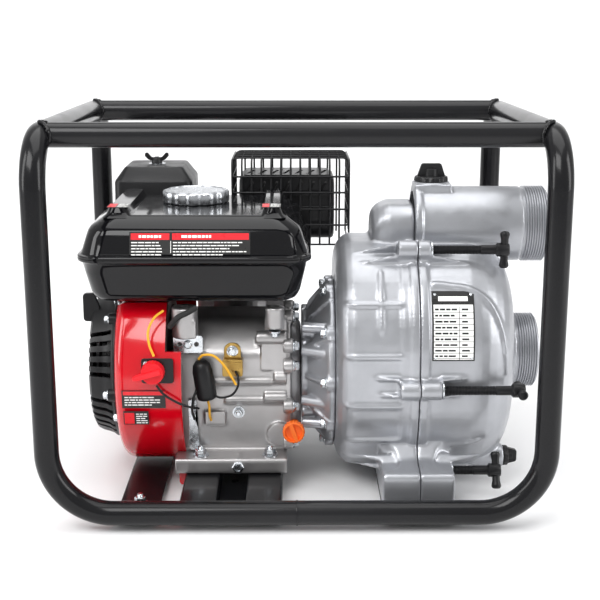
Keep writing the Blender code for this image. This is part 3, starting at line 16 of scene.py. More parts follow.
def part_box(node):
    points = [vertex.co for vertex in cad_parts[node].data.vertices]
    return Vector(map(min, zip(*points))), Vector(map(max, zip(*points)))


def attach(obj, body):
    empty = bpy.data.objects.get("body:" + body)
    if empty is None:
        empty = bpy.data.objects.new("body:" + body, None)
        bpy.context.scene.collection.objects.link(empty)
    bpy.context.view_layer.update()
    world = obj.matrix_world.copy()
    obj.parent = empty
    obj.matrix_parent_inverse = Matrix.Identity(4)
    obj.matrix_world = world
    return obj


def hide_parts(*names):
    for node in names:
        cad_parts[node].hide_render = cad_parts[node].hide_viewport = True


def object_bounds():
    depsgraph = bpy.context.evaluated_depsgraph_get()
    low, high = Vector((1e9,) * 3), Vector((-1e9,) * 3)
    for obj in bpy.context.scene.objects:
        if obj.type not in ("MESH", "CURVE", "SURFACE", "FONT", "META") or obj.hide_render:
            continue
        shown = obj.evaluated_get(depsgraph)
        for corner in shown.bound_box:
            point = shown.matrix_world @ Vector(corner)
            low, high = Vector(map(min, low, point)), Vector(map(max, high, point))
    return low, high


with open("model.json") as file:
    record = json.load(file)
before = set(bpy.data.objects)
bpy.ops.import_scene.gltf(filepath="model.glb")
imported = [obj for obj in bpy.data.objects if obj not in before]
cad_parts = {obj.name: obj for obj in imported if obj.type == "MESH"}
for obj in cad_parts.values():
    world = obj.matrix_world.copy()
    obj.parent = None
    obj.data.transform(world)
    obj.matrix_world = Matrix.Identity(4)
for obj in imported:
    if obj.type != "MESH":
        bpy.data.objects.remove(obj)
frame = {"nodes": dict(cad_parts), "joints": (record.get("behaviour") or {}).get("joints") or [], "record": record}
cad_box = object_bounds()

MM = 0.001
X, Y, Z = 0, 1, 2
AXES = (Vector((1, 0, 0)), Vector((0, 1, 0)), Vector((0, 0, 1)))

hoop_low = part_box("frame_hoop_left")[0]
hoop_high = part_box("frame_hoop_right")[1]
ORIGIN = Vector(((hoop_low.x + hoop_high.x) / 2, (hoop_low.y + hoop_high.y) / 2, hoop_low.z))
TO_FRAME = Matrix.Translation(ORIGIN) @ Matrix.Scale(MM, 4)


def cad(node):
    """A CAD node's lowest and highest corners, in this file's millimetres."""
    low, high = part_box(node)
    return (low - ORIGIN) / MM, (high - ORIGIN) / MM


def middle(node):
    low, high = cad(node)
    return (low + high) / 2


def joint_place(body):
    """Where the joint that moves a body is, in this file's millimetres."""
    joint = next(j for j in frame["joints"] if j["child"] == body)
    return (Vector(joint["pos_m"]) - ORIGIN) / MM


# Places read from the CAD
FRAME_HIGH = (hoop_high - ORIGIN) / MM
RAIL_LOW, RAIL_HIGH = cad("frame_top_rail_front")
TUBE_R = (RAIL_HIGH.z - RAIL_LOW.z) / 2 / math.cos(math.pi / 10)
RAIL_X = FRAME_HIGH.x - TUBE_R
RAIL_Y = FRAME_HIGH.y - TUBE_R
TOP_Z = (RAIL_HIGH.z + RAIL_LOW.z) / 2
CRANK = Vector((0, middle("flywheel").y, middle("flywheel").z))
FAN_LOW, FAN_HIGH = cad("fan_cover")
STARTER_LOW, STARTER_HIGH = cad("starter_housing")
CASE_LOW, CASE_HIGH = cad("crankcase")
TANK_LOW, SEAM = cad("fuel_tank_lower")
TANK_FRAME = cad("fuel_tank_upper")
TANK_HIGH = TANK_FRAME[1]
CAP_LOW, CAP_HIGH = cad("fuel_cap")
CAP = (CAP_LOW + CAP_HIGH) / 2
FILTER_LOW, FILTER_HIGH = cad("air_filter_cover")
MUFFLER_LOW, MUFFLER_HIGH = cad("muffler")
GUARD_LOW, GUARD_HIGH = cad("muffler_guard")
KNOB_LOW, KNOB_HIGH = cad("engine_switch_knob")
PLATE_LOW, PLATE_HIGH = cad("engine_switch_plate")
DIP_LOW, DIP_HIGH = cad("oil_dipstick")

# Sizes that the CAD has too, where a box doesn't give them
BEND_LOW = 68
BEND_TOP = 52
PUMP_Y = -20
PUMP_Z = 142
PUMP_HALF_Y = 130
PUMP_HALF_Z = 133
PUMP_CORNER = 112
PUMP_WALL = 6
PORT_R = 43.95
PORT_BORE = 38
PORT_Y = -15
INLET_Z = 137
OUTLET_Z = 290
FACE_X = 244
TANK_LIP = 4
FAN_EYE_R = 84
BLOCK_FRONT_Y = -90
ARCH_HALF = PORT_R - 2
SPLIT_LEFT = 133.8
SPLIT_RIGHT = 134.2
FLANGE = 4
PRIMING_X = 156
PRIME_STEM_R = 13.6
DRAIN_Y = -80
DRAIN_Z = 27
DRAIN_STEM_R = 8
FOOT_LEFT_X = 93
FOOT_RIGHT_X = 171
CLAMP_ROD_R = 5.2
CLAMP_START = 118
CLAMP_BOSS_R = 10.5
CARB_X = -149
CARB_Y = 116
CASE_OUTLINE = [(-90, 38), (-90, 152), (-60, 188), (-2, 188), (45, 120), (45, 38)]
CASE_FILLETS = [6, 18, 18, 8, 8, 6]
FOOT_LOW_Z = 20
FOOT_TOP_Z = 38
FOOT_STUD_Y = -108
FOOT_STUD_X = (-109.4, -30.7)
TANK_BOSS_Y = -100
TANK_BOSS_X = (-125, -24.5)
OIL_DRAIN = (-66.6, 29)

# Each clamp screw: the angle of its bar from the vertical, and the x where its boss ends
CLAMPS = {
    "clamp_screw_top": (0, 148),
    "clamp_screw_front": (90, 157),
    "clamp_screw_low": (25, 171),
    "clamp_screw_rear": (90, 157),
}


# ---------------------------------------------------------------- shapes


def skin(rings, loop=False):
    """A closed body through rings of points: capped at both ends, or joined into a loop."""
    body = bmesh.new()
    loops = [[body.verts.new(point) for point in ring] for ring in rings]
    pairs = list(zip(loops, loops[1:]))
    if loop:
        pairs.append((loops[-1], loops[0]))
    else:
        body.faces.new(loops[0])
        body.faces.new(loops[-1])
    for one, other in pairs:
        for i in range(len(one)):
            j = (i + 1) % len(one)
            body.faces.new((one[i], one[j], other[j], other[i]))
    bmesh.ops.recalc_face_normals(body, faces=body.faces[:])
    return body


def joined(bodies):
    """Several bodies as one. Each keeps its faces' material numbers."""
    whole = bmesh.new()
    for body in bodies:
        mesh = bpy.data.meshes.new("joined")
        body.to_mesh(mesh)
        whole.from_mesh(mesh)
        body.free()
        bpy.data.meshes.remove(mesh)
    return whole


def across(direction):
    """Two unit vectors at right angles to the direction and to each other."""
    along = Vector(direction).normalized()
    first = AXES[Y] if abs(along.x) > 0.9 else AXES[X]
    second = along.cross(first).normalized()
    return second.cross(along), second


def circle(centre, direction, radius, sides, start=0.5):
    first, second = across(direction)
    turns = [2 * math.pi * (i + start) / sides for i in range(sides)]
    return [Vector(centre) + (first * math.cos(a) + second * math.sin(a)) * radius for a in turns]


def rod(start, end, radius, sides=32):
    """A round bar. The radius is one value, or one for each end."""
    radii = radius if isinstance(radius, tuple) else (radius, radius)
    along = Vector(end) - Vector(start)
    return skin([circle(start, along, radii[0], sides), circle(end, along, radii[1], sides)])


def turned(profile, origin, direction, sides=48):
    """A profile of (radius, height) points turned about an axis. One that starts off the axis is a ring."""
    along = Vector(direction).normalized()
    rings = [circle(Vector(origin) + along * h, along, max(r, 0.01), sides) for r, h in profile]
    return skin(rings, loop=profile[0][0] > 0)


def ring_at(outline, axis, level):
    """The points of a flat outline, in the other two axes in order, at one level of an axis."""
    ring = []
    for point in outline:
        spot = list(point)
        spot.insert(axis, level)
        ring.append(spot)
    return ring


def prism(outline, axis, low, high):
    """A flat outline extruded along one axis."""
    return skin([ring_at(outline, axis, low), ring_at(outline, axis, high)])


def block(low, high):
    outline = [(low[X], low[Y]), (high[X], low[Y]), (high[X], high[Y]), (low[X], high[Y])]
    return prism(outline, Z, low[Z], high[Z])


def filleted(points, radius, steps=8):
    """The points with each corner made an arc. The radius is one value, or one for each point."""
    points = [Vector(point) for point in points]
    radii = radius if isinstance(radius, list) else [radius] * len(points)
    result = []
    for i, corner in enumerate(points):
        if not radii[i]:
            result.append(corner)
            continue
        before = (points[i - 1] - corner).normalized()
        after = (points[(i + 1) % len(points)] - corner).normalized()
        half = before.angle(after) / 2
        centre = corner + (before + after).normalized() * (radii[i] / math.sin(half))
        start = corner + before * (radii[i] / math.tan(half)) - centre
        end = corner + after * (radii[i] / math.tan(half)) - centre
        for k in range(steps + 1):
            result.append(centre + start.slerp(end, k / steps).normalized() * radii[i])
    return result


def rounded(low, high, radius, steps=8):
    """A rectangle outline with round corners, in a plane."""
    corners = [(low[0], low[1]), (high[0], low[1]), (high[0], high[1]), (low[0], high[1])]
    return filleted(corners, radius, steps)


def swept(path, radius, sides=16, wall=0.0, loop=False):
    """A round bar along a path, or a tube where it has a wall. The radius may be one for each point."""
    path = [Vector(point) for point in path]
    count = len(path)
    radii = radius if isinstance(radius, list) else [radius] * count
    outer = []
    inner = []
    first = None
    for i, point in enumerate(path):
        ahead = path[(i + 1) % count if loop else min(i + 1, count - 1)] - point
        behind = point - path[i - 1 if loop else max(i - 1, 0)]
        along = (ahead.normalized() + behind.normalized()).normalized()
        first = along.orthogonal() if first is None else first
        first = (first - along * first.dot(along)).normalized()
        second = along.cross(first)
        turns = [2 * math.pi * k / sides for k in range(sides)]
        spokes = [first * math.cos(a) + second * math.sin(a) for a in turns]
        outer.append([point + spoke * radii[i] for spoke in spokes])
        inner.append([point + spoke * (radii[i] - wall) for spoke in spokes])
    if wall:
        return skin(outer + inner[::-1], loop=True)
    return skin(outer, loop=loop)


def line(points, per_span=8):
    """A smooth line through the points."""
    points = [Vector(point) for point in points]
    ends = [points[0] * 2 - points[1], *points, points[-1] * 2 - points[-2]]
    result = []
    for i in range(len(points) - 1):
        before, start, stop, after = ends[i : i + 4]
        for k in range(per_span):
            t = k / per_span
            slope = (stop - before) * t
            bend = (before * 2 - start * 5 + stop * 4 - after) * t**2
            twist = (start * 3 - before - stop * 3 + after) * t**3
            result.append(start + (slope + bend + twist) / 2)
    return result + [points[-1]]


def numbered(body, index):
    """The body with all its faces on one of the piece's materials."""
    for face in body.faces:
        face.material_index = index
    return body


# ---------------------------------------------------------------- fasteners


def hexagon(spot, direction, across_flats, height):
    """A hexagon head or nut with its outer corners eased."""
    along = Vector(direction).normalized()
    radius = across_flats / math.sqrt(3)
    rings = []
    for r, h in ((radius, 0), (radius, height * 0.82), (radius * 0.86, height)):
        rings.append(circle(Vector(spot) + along * h, along, r, 6, 0))
    return skin(rings)


def bolt(spot, direction, flats=10, height=6, washer=7.6):
    """A flanged hexagon bolt with a shallow dish in its head."""
    along = Vector(direction).normalized()
    spot = Vector(spot)
    head = hexagon(spot + along * 1.2, along, flats, height)
    flange = turned(
        [(0, -0.6), (washer, -0.6), (washer, 0.9), (flats * 0.58, 1.9), (0, 1.9)], spot, along, 28,
    )
    ring = flats * 0.3
    rim = [
        (ring, height + 1), (ring + 0.9, height + 1), (ring + 0.6, height + 1.6),
        (ring + 0.2, height + 1.6),
    ]
    return [head, flange, turned(rim, spot, along, 24)]


def threaded(spot, direction, radius, length, pitch=1.2):
    """A bar with a screw thread's ridges."""
    profile = [(0, 0)]
    turns = int(length / pitch)
    for k in range(turns):
        profile += [(radius * 0.88, k * pitch), (radius, (k + 0.5) * pitch)]
    profile += [(radius * 0.8, turns * pitch), (0, turns * pitch)]
    return turned(profile, spot, direction, 16)


def nut_on_stud(spot, direction, flats=12, washer=9, tail=5):
    """A washer, a nut and the end of its stud."""
    along = Vector(direction).normalized()
    spot = Vector(spot)
    parts = [turned([(0, -0.5), (washer, -0.5), (washer, 1.5), (0, 1.5)], spot, along, 32)]
    parts.append(hexagon(spot + along * 1.5, along, flats, flats * 0.6))
    parts.append(threaded(spot + along * 2, along, flats * 0.3, flats * 0.6 + tail))
    return parts


# ---------------------------------------------------------------- materials


class Finish:
    """A procedural material and the record's slot that it belongs to."""

    def __init__(self, name, slot, colour, roughness, metallic=0.0):
        self.slot = slot
        self.material = bpy.data.materials.new(name)
        self.material.use_nodes = True
        self.tree = self.material.node_tree
        self.shader = self.tree.nodes["Principled BSDF"]
        self.shader.inputs["Metallic"].default_value = metallic
        self.place = self.tree.nodes.new("ShaderNodeTexCoord").outputs["Object"]
        self.colour = colour
        self.roughness = roughness
        self.bumps = []

    def noise(self, scale, detail=4.0, rough=0.55):
        node = self.tree.nodes.new("ShaderNodeTexNoise")
        node.inputs["Scale"].default_value = scale
        node.inputs["Detail"].default_value = detail
        node.inputs["Roughness"].default_value = rough
        self.tree.links.new(self.place, node.inputs["Vector"])
        return node.outputs["Fac"]

    def cells(self, scale):
        node = self.tree.nodes.new("ShaderNodeTexVoronoi")
        node.inputs["Scale"].default_value = scale
        self.tree.links.new(self.place, node.inputs["Vector"])
        return node.outputs["Distance"]

    def span(self, value, low, high, start=0.3, end=0.7):
        node = self.tree.nodes.new("ShaderNodeMapRange")
        node.inputs["From Min"].default_value = start
        node.inputs["From Max"].default_value = end
        node.inputs["To Min"].default_value = low
        node.inputs["To Max"].default_value = high
        self.tree.links.new(value, node.inputs["Value"])
        return node.outputs["Result"]

    def mix(self, factor, one, other):
        node = self.tree.nodes.new("ShaderNodeMix")
        node.data_type = "RGBA"
        self.tree.links.new(factor, node.inputs["Factor"])
        for value, socket in ((one, node.inputs["A"]), (other, node.inputs["B"])):
            if isinstance(value, tuple):
                socket.default_value = (*value, 1)
            else:
                self.tree.links.new(value, socket)
        return node.outputs["Result"]

    def edges(self, low=0.52, high=0.6):
        """Nearly 0 on flats and 1 on worn outside edges."""
        node = self.tree.nodes.new("ShaderNodeNewGeometry")
        return self.span(node.outputs["Pointiness"], 0.0, 1.0, low, high)

    def shaded(self, scale, by):
        """The colour, a little lighter and darker in large soft patches."""
        dark = tuple(c * (1 - by) for c in self.colour)
        light = tuple(min(c * (1 + by), 1) for c in self.colour)
        return self.mix(self.span(self.noise(scale), 0, 1), dark, light)

    def bump(self, height, strength, distance):
        node = self.tree.nodes.new("ShaderNodeBump")
        node.inputs["Strength"].default_value = strength
        node.inputs["Distance"].default_value = distance * MM
        self.tree.links.new(height, node.inputs["Height"])
        if self.bumps:
            self.tree.links.new(self.bumps[-1].outputs["Normal"], node.inputs["Normal"])
        self.bumps.append(node)

    def done(self, colour, rough_noise, spread):
        low = max(self.roughness - spread, 0.02)
        rough = self.span(rough_noise, low, self.roughness + spread)
        self.tree.links.new(colour, self.shader.inputs["Base Color"])
        self.tree.links.new(rough, self.shader.inputs["Roughness"])
        if self.bumps:
            self.tree.links.new(self.bumps[-1].outputs["Normal"], self.shader.inputs["Normal"])
        return self


def enamel(name, slot, colour, roughness, coat, peel=0.05, shine=0.5):
    """Sprayed gloss paint: orange peel, faint dust, and edges rubbed a little lighter."""
    f = Finish(name, slot, colour, roughness)
    f.shader.inputs["Coat Weight"].default_value = coat
    f.shader.inputs["Specular IOR Level"].default_value = shine
    f.shader.inputs["Coat Roughness"].default_value = 0.06
    worn = tuple(min(c * 1.5 + 0.012, 1) for c in colour)
    base = f.mix(f.edges(0.54, 0.66), f.shaded(9, 0.12), worn)
    dust = f.span(f.noise(900, 2), 0, 0.35, 0.62, 0.8)
    grey = tuple(c * 0.8 + 0.03 for c in colour)
    f.bump(f.noise(420, 2), peel, 0.25)
    return f.done(f.mix(dust, base, grey), f.noise(26, 6), 0.05)


def casting(name, slot, colour, roughness, metallic, grain):
    """Sand-cast or die-cast metal: fine grain, flow marks, small pits and brighter handled edges."""
    f = Finish(name, slot, colour, roughness, metallic)
    light = tuple(min(c * 1.3 + 0.03, 1) for c in colour)
    base = f.mix(f.edges(0.53, 0.62), f.shaded(14, 0.13), light)
    pits = f.span(f.cells(1100), 1, 0, 0.05, 0.2)
    dark = tuple(c * 0.72 for c in colour)
    f.bump(f.noise(1400, 3), grain, 0.3)
    f.bump(f.noise(160, 4), grain * 0.8, 0.8)
    return f.done(f.mix(f.span(pits, 0, 0.5, 0, 1), base, dark), f.noise(60, 6), 0.07)


def moulded(name, slot, colour, roughness, grain=0.25, scale=1500):
    """Moulded plastic or rubber with a fine spark-eroded texture and scuffs."""
    f = Finish(name, slot, colour, roughness)
    f.shader.inputs["Specular IOR Level"].default_value = 0.3
    scuff = tuple(min(c * 1.35 + 0.012, 1) for c in colour)
    base = f.mix(f.edges(0.53, 0.64), f.shaded(12, 0.1), scuff)
    f.bump(f.noise(scale, 2), grain, 0.18)
    return f.done(base, f.noise(45, 6), 0.08)


def plated(name, slot, colour, roughness):
    """Bright plated or machined steel, with faint turning lines and dulled patches."""
    f = Finish(name, slot, colour, roughness, 1.0)
    dull = tuple(c * 0.6 for c in colour)
    base = f.mix(f.span(f.noise(190, 5), 0, 0.6, 0.5, 0.75), f.shaded(60, 0.15), dull)
    f.bump(f.noise(2200, 2), 0.12, 0.1)
    return f.done(base, f.noise(240, 6), 0.09)


BLACK = enamel("gloss_black_frame_paint", "frame_paint", (0.006, 0.006, 0.007), 0.22, 0.12, shine=0.22)
TANK = enamel("gloss_black_tank_enamel", "tank_paint", (0.004, 0.004, 0.005), 0.1, 0.25, 0.02, 0.2)
RED = enamel("gloss_red_enamel", "red_paint", (0.6, 0.0, 0.008), 0.16, 0.5, 0.03, 0.4)
HOT = enamel("satin_black_heatproof", "hot_black", (0.008, 0.008, 0.009), 0.34, 0.05, 0.12, 0.25)
SILVER = casting("silver_painted_casting", "silver_paint", (0.42, 0.43, 0.455), 0.36, 0.7, 0.07)
CAST = casting("bare_die_casting", "cast_aluminium", (0.46, 0.45, 0.45), 0.38, 0.85, 0.14)
STEEL = plated("machined_steel", "steel", (0.55, 0.56, 0.58), 0.3)
ZINC = plated("bright_zinc_plate", "zinc", (0.66, 0.69, 0.72), 0.24)
GOLD = plated("yellow_zinc_plate", "gold_zinc", (0.42, 0.27, 0.08), 0.32)
CHROME = plated("polished_cap", "cap_chrome", (0.6, 0.62, 0.65), 0.3)
PLASTIC = moulded("black_moulded_plastic", "black_plastic", (0.009, 0.009, 0.01), 0.38)
RUBBER = moulded("black_rubber", "rubber", (0.02, 0.02, 0.02), 0.72, 0.4, 900)
ORANGE = moulded("orange_plastic", "orange_plastic", (1.0, 0.17, 0.02), 0.38)
RED_PLASTIC = moulded("red_switch_plastic", "red_plastic", (0.66, 0.006, 0.014), 0.34)
YELLOW = moulded("yellow_wire_sleeve", "yellow_wire", (0.85, 0.42, 0.03), 0.42)
FOAM = moulded("filter_foam", "foam", (0.09, 0.09, 0.08), 0.95, 1.0, 500)
LABEL_BLACK = moulded("label_black_print", "tank_paint", (0.012, 0.012, 0.012), 0.3, 0.05)
LABEL_WHITE = moulded("label_white_print", "tank_paint", (0.72, 0.72, 0.7), 0.35, 0.05)
LABEL_RED = moulded("label_red_print", "tank_paint", (0.6, 0.012, 0.02), 0.3, 0.05)


# ---------------------------------------------------------------- pieces


def placed(name, body):
    """An object in the row frame that holds a body."""
    mesh = bpy.data.meshes.new(name)
    body.to_mesh(mesh)
    body.free()
    mesh.transform(TO_FRAME)
    obj = bpy.data.objects.new(name, mesh)
    bpy.context.scene.collection.objects.link(obj)
    return obj


def eased(obj, width, segments, angle):
    """Rounds the object's sharp edges a little."""
    soften = obj.modifiers.new("eased_edges", "BEVEL")
    soften.width = width * MM
    soften.segments = segments
    soften.limit_method = "ANGLE"
    soften.angle_limit = math.radians(angle)
    return soften


def piece(name, body, finish, stands=(), rides="root", bevel=0.0, angle=35, more=()):
    """Puts a body in the row frame as one visible piece. more: the finishes of material numbers 1 and on."""
    obj = placed(name, body)
    for part in (finish, *more):
        obj.data.materials.append(part.material)
    obj.data.shade_smooth()
    obj.data.set_sharp_from_angle(angle=math.radians(angle))
    if bevel:
        eased(obj, bevel, 3, angle).harden_normals = True
    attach(obj, rides)
    if stands:
        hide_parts(*stands)


def settled(obj):
    """The object with its modifiers applied."""
    graph = bpy.context.evaluated_depsgraph_get()
    mesh = bpy.data.meshes.new_from_object(obj.evaluated_get(graph))
    obj.modifiers.clear()
    obj.data = mesh
    return obj


def helper(body):
    """A hidden object in the row frame, for a Boolean."""
    obj = placed("helper", body)
    obj.hide_render = True
    return obj


def taken(target):
    """A helper's mesh as a body again, and the helper gone."""
    result = bmesh.new()
    result.from_mesh(settled(target).data)
    result.transform(TO_FRAME.inverted())
    bpy.data.objects.remove(target)
    return result


def carved(body, add=(), cut=()):
    """The body with others joined to it and then others cut out of it, in order."""
    target = helper(body)
    others = []
    for operation, bodies in (("UNION", add), ("DIFFERENCE", cut)):
        for other in bodies:
            modifier = target.modifiers.new(operation, "BOOLEAN")
            modifier.operation = operation
            modifier.solver = "EXACT"
            modifier.object = helper(other)
            others.append(modifier.object)
    result = taken(target)
    for obj in others:
        bpy.data.objects.remove(obj)
    return result


def cast_together(body, voxel, smooth=3):
    """Melts overlapping shells into one casting with small fillets in its corners."""
    target = helper(body)
    remesh = target.modifiers.new("melt", "REMESH")
    remesh.mode = "VOXEL"
    remesh.voxel_size = voxel * MM
    ease = target.modifiers.new("ease", "SMOOTH")
    ease.factor = 0.6
    ease.iterations = smooth
    return taken(target)


# ---------------------------------------------------------------- frame


def make_frame():
    for name, side in (("left", -1), ("right", 1)):
        x = side * RAIL_X
        corners = [
            (side * 0.15, -RAIL_Y, TUBE_R),
            (x, -RAIL_Y, TUBE_R),
            (x, -RAIL_Y, TOP_Z),
            (x, RAIL_Y, TOP_Z),
            (x, RAIL_Y, TUBE_R),
            (side * 0.15, RAIL_Y, TUBE_R),
        ]
        path = filleted(corners, [0, BEND_LOW, BEND_TOP, BEND_TOP, BEND_LOW, 0], 20)
        tube = swept(path, TUBE_R, 48, 1.5)
        piece(f"tube_hoop_{name}", tube, BLACK, [f"frame_hoop_{name}"])
    for name, low in (("front", RAIL_LOW.y), ("rear", cad("frame_top_rail_rear")[0].y)):
        y = low + (RAIL_HIGH.y - RAIL_LOW.y) / 2
        inside = RAIL_X - TUBE_R * 0.72
        tube = swept([(-inside, y, TOP_Z), (inside, y, TOP_Z)], TUBE_R, 48)
        piece(f"tube_top_rail_{name}", tube, BLACK, [f"frame_top_rail_{name}"])
        beads = []
        for side in (-1, 1):
            loop = []
            for k in range(72):
                turn = 2 * math.pi * k / 72
                reach = RAIL_X - TUBE_R * abs(math.cos(turn)) - 0.4
                ripple = TUBE_R + 0.5 + 0.35 * math.sin(k * 2 * math.pi / 3)
                loop.append((side * reach, y + ripple * math.cos(turn), TOP_Z + ripple * math.sin(turn)))
            beads.append(swept(loop, 1.9, 10, loop=True))
        piece(f"weld_beads_top_{name}", joined(beads), BLACK, angle=60)
    seams = []
    for y in (-RAIL_Y, RAIL_Y):
        profile = [
            (TUBE_R - 1, -1.5), (TUBE_R + 0.35, -1.1), (TUBE_R + 0.6, 0), (TUBE_R + 0.35, 1.1),
            (TUBE_R - 1, 1.5),
        ]
        seams.append(turned(profile, (0, y, TUBE_R), AXES[X], 48))
    piece("weld_seams_bottom", joined(seams), BLACK, angle=60)


def make_base():
    for node in ("base_strip_left", "pump_base_strip"):
        low, high = cad(node)
        strip = block(low, high)
        piece(f"{node}_rolled", strip, BLACK, [node], bevel=1.0)
        beads = []
        for y, inward in ((low.y, 1), (high.y, -1)):
            path = [
                (low.x + 2 + (high.x - low.x - 4) * k / 24, y + inward * 0.6, high.z) for k in range(25)
            ]
            radii = [1.9 + 0.35 * math.sin(k * 1.9) for k in range(25)]
            beads.append(swept(path, radii, 8))
        piece(f"{node}_welds", joined(beads), BLACK, angle=60)
    low, high = cad("engine_base_channel")
    x = (low.x + high.x) / 2
    sheet = 4
    inner = 15
    top = high.z
    strip_top = cad("base_strip_left")[1].z
    outline = [
        (low.x, low.z),
        (low.x, top),
        (x - inner, top),
        (x - inner, strip_top),
        (x + inner, strip_top),
        (x + inner, top),
        (high.x, top),
        (high.x, low.z),
        (high.x - sheet, low.z),
        (high.x - sheet, top - sheet),
        (x + inner + sheet, top - sheet),
        (x + inner + sheet, low.z),
        (x - inner - sheet, low.z),
        (x - inner - sheet, top - sheet),
        (low.x + sheet, top - sheet),
        (low.x + sheet, low.z),
    ]
    radii = [0, 4, 4, 1.5, 1.5, 4, 4, 0, 0, 2, 2, 0, 0, 2, 2, 0]
    body = prism(filleted(outline, radii, 5), Y, low.y, high.y)
    holes = [rod((x, y, low.z - 5), (x, y, strip_top + 5), 4, 24) for y in (-165, -100, 120)]
    piece("engine_base_pressed", carved(body, cut=holes), BLACK, ["engine_base_channel"], bevel=0.5)
    bolts = []
    for end in ("left", "right"):
        for face in ("front", "rear"):
            spot = middle(f"foot_{face}_{end}")
            bolts += nut_on_stud((spot.x, spot.y, strip_top), AXES[Z], 11, 8.5, 4)
    piece("foot_nuts", joined(bolts), ZINC)


def make_feet():
    for end in ("left", "right"):
        for face in ("front", "rear"):
            node = f"foot_{face}_{end}"
            low, high = cad(node)
            height = high.z - low.z
            r = (high.x - low.x) / 2 - 0.4
            profile = [
                (0, 0.4), (r - 6, 0.4), (r - 5.4, 0), (r - 2.6, 0), (r - 1.8, 0.8),
                (r - 1, height - 1.6),
            ]
            profile += [(r, height - 0.7), (r - 0.5, height), (0, height)]
            piece(
                f"{node}_rubber",
                turned(profile, ((low.x + high.x) / 2, (low.y + high.y) / 2, low.z), AXES[Z]),
                RUBBER, [node],
            )


# ---------------------------------------------------------------- tank


def tank_ring(inset, radius, level):
    low = (TANK_FRAME[0].x + inset, TANK_FRAME[0].y + inset)
    high = (TANK_FRAME[1].x - inset, TANK_FRAME[1].y - inset)
    return ring_at(rounded(low, high, radius, 10), Z, level)


def label(name, at, along, up, size, bars):
    """A printed plate: a thin backing with raised bars, each (left, low, right, high, material number)."""
    at, along, up = Vector(at), Vector(along).normalized(), Vector(up).normalized()
    out = along.cross(up)

    def slab(left, low, right, high, near, far, index):
        rings = []
        for depth in (near, far):
            ring = [(left, low), (right, low), (right, high), (left, high)]
            rings.append([at + along * a + up * b + out * depth for a, b in ring])
        return numbered(skin(rings), index)

    parts = [slab(0, 0, size[0], size[1], -0.3, 0.25, 0)]
    for left, low, right, high, index in bars:
        parts.append(slab(left, low, right, high, 0.2, 0.38 if index != 2 else 0.32, index))
    piece(name, joined(parts), LABEL_BLACK, more=(LABEL_WHITE, LABEL_RED))


def rows(draw, left, right, top, pitch, count, thick, index=1):
    """Generic lines of print, broken into word-like dashes."""
    bars = []
    for row in range(count):
        x = left
        end = right - (right - left) * draw.uniform(0, 0.3)
        high = top - row * pitch
        while x < end - 2:
            word = draw.uniform(2.2, 7.5)
            bars.append((x, high - thick, min(x + word, end), high, index))
            x += word + 0.9
    return bars


def make_tank():
    low = TANK_LOW.z
    seam = SEAM.z
    top = CAP_LOW.z - 0.3
    lip = TANK_LIP
    lower = [
        tank_ring(*row) for row in (
            (26, 14, low), (21, 18, low + 0.8), (17, 21, low + 3), (14.2, 23, low + 7),
            (12, 24, low + 12), (7, 25, seam - 16), (lip + 0.6, 26, seam - 5.4),
            (lip - 1, 27, seam - 4), (0.5, 28, seam - 3.2), (0, 28, seam - 2.4),
            (0, 28, seam - 0.2),
        )
    ]
    piece("tank_lower_shell", skin(lower), TANK, ["fuel_tank_lower"], angle=50)
    seam = TANK_FRAME[0].z
    upper = [
        tank_ring(*row) for row in (
            (0, 28, seam), (0, 28, seam + 2.2), (0.5, 28, seam + 3), (lip - 1, 27, seam + 3.8),
            (lip + 0.4, 26, seam + 5.4), (9.5, 26, top - 21), (11.6, 26, top - 15),
            (14.4, 25, top - 11), (26, 20, top - 3.4), (30, 18, top - 1.1), (35, 14, top),
        )
    ]
    body = skin(upper)
    floor = []
    for start, end in ((TANK_FRAME[0].x + 31, -182), (-39, TANK_FRAME[1].x - 31)):
        pad = []
        for inset, level in ((-4, top - 2.5), (0, top + 0.8), (1.2, top + 3), (3.4, TANK_HIGH.z)):
            shape = rounded(
                (start + inset, TANK_FRAME[0].y + 31 + inset),
                (end - inset, TANK_FRAME[1].y - 31 - inset), 9, 6,
            )
            pad.append(ring_at(shape, Z, level))
        floor.append(skin(pad))
    neck = turned([(0, -3), (31, -3), (30, 1), (25, 2), (24, 8), (0, 8)], (CAP.x, CAP.y, top), AXES[Z], 48)
    mouth = rod((CAP.x, CAP.y, top - 12), (CAP.x, CAP.y, top + 20), 21, 44)
    shell = carved(body, add=[*floor, neck], cut=[mouth])
    piece("tank_upper_shell", shell, TANK, ["fuel_tank_upper"], bevel=0.7, angle=24)
    stops = []
    for x in (TANK_FRAME[0].x + 60, TANK_FRAME[1].x - 60):
        stops += bolt((x, TANK_FRAME[1].y - 1.5, seam + 2.8), AXES[Z], 8, 3, 5)
    piece("tank_seam_screws", joined(stops), ZINC)


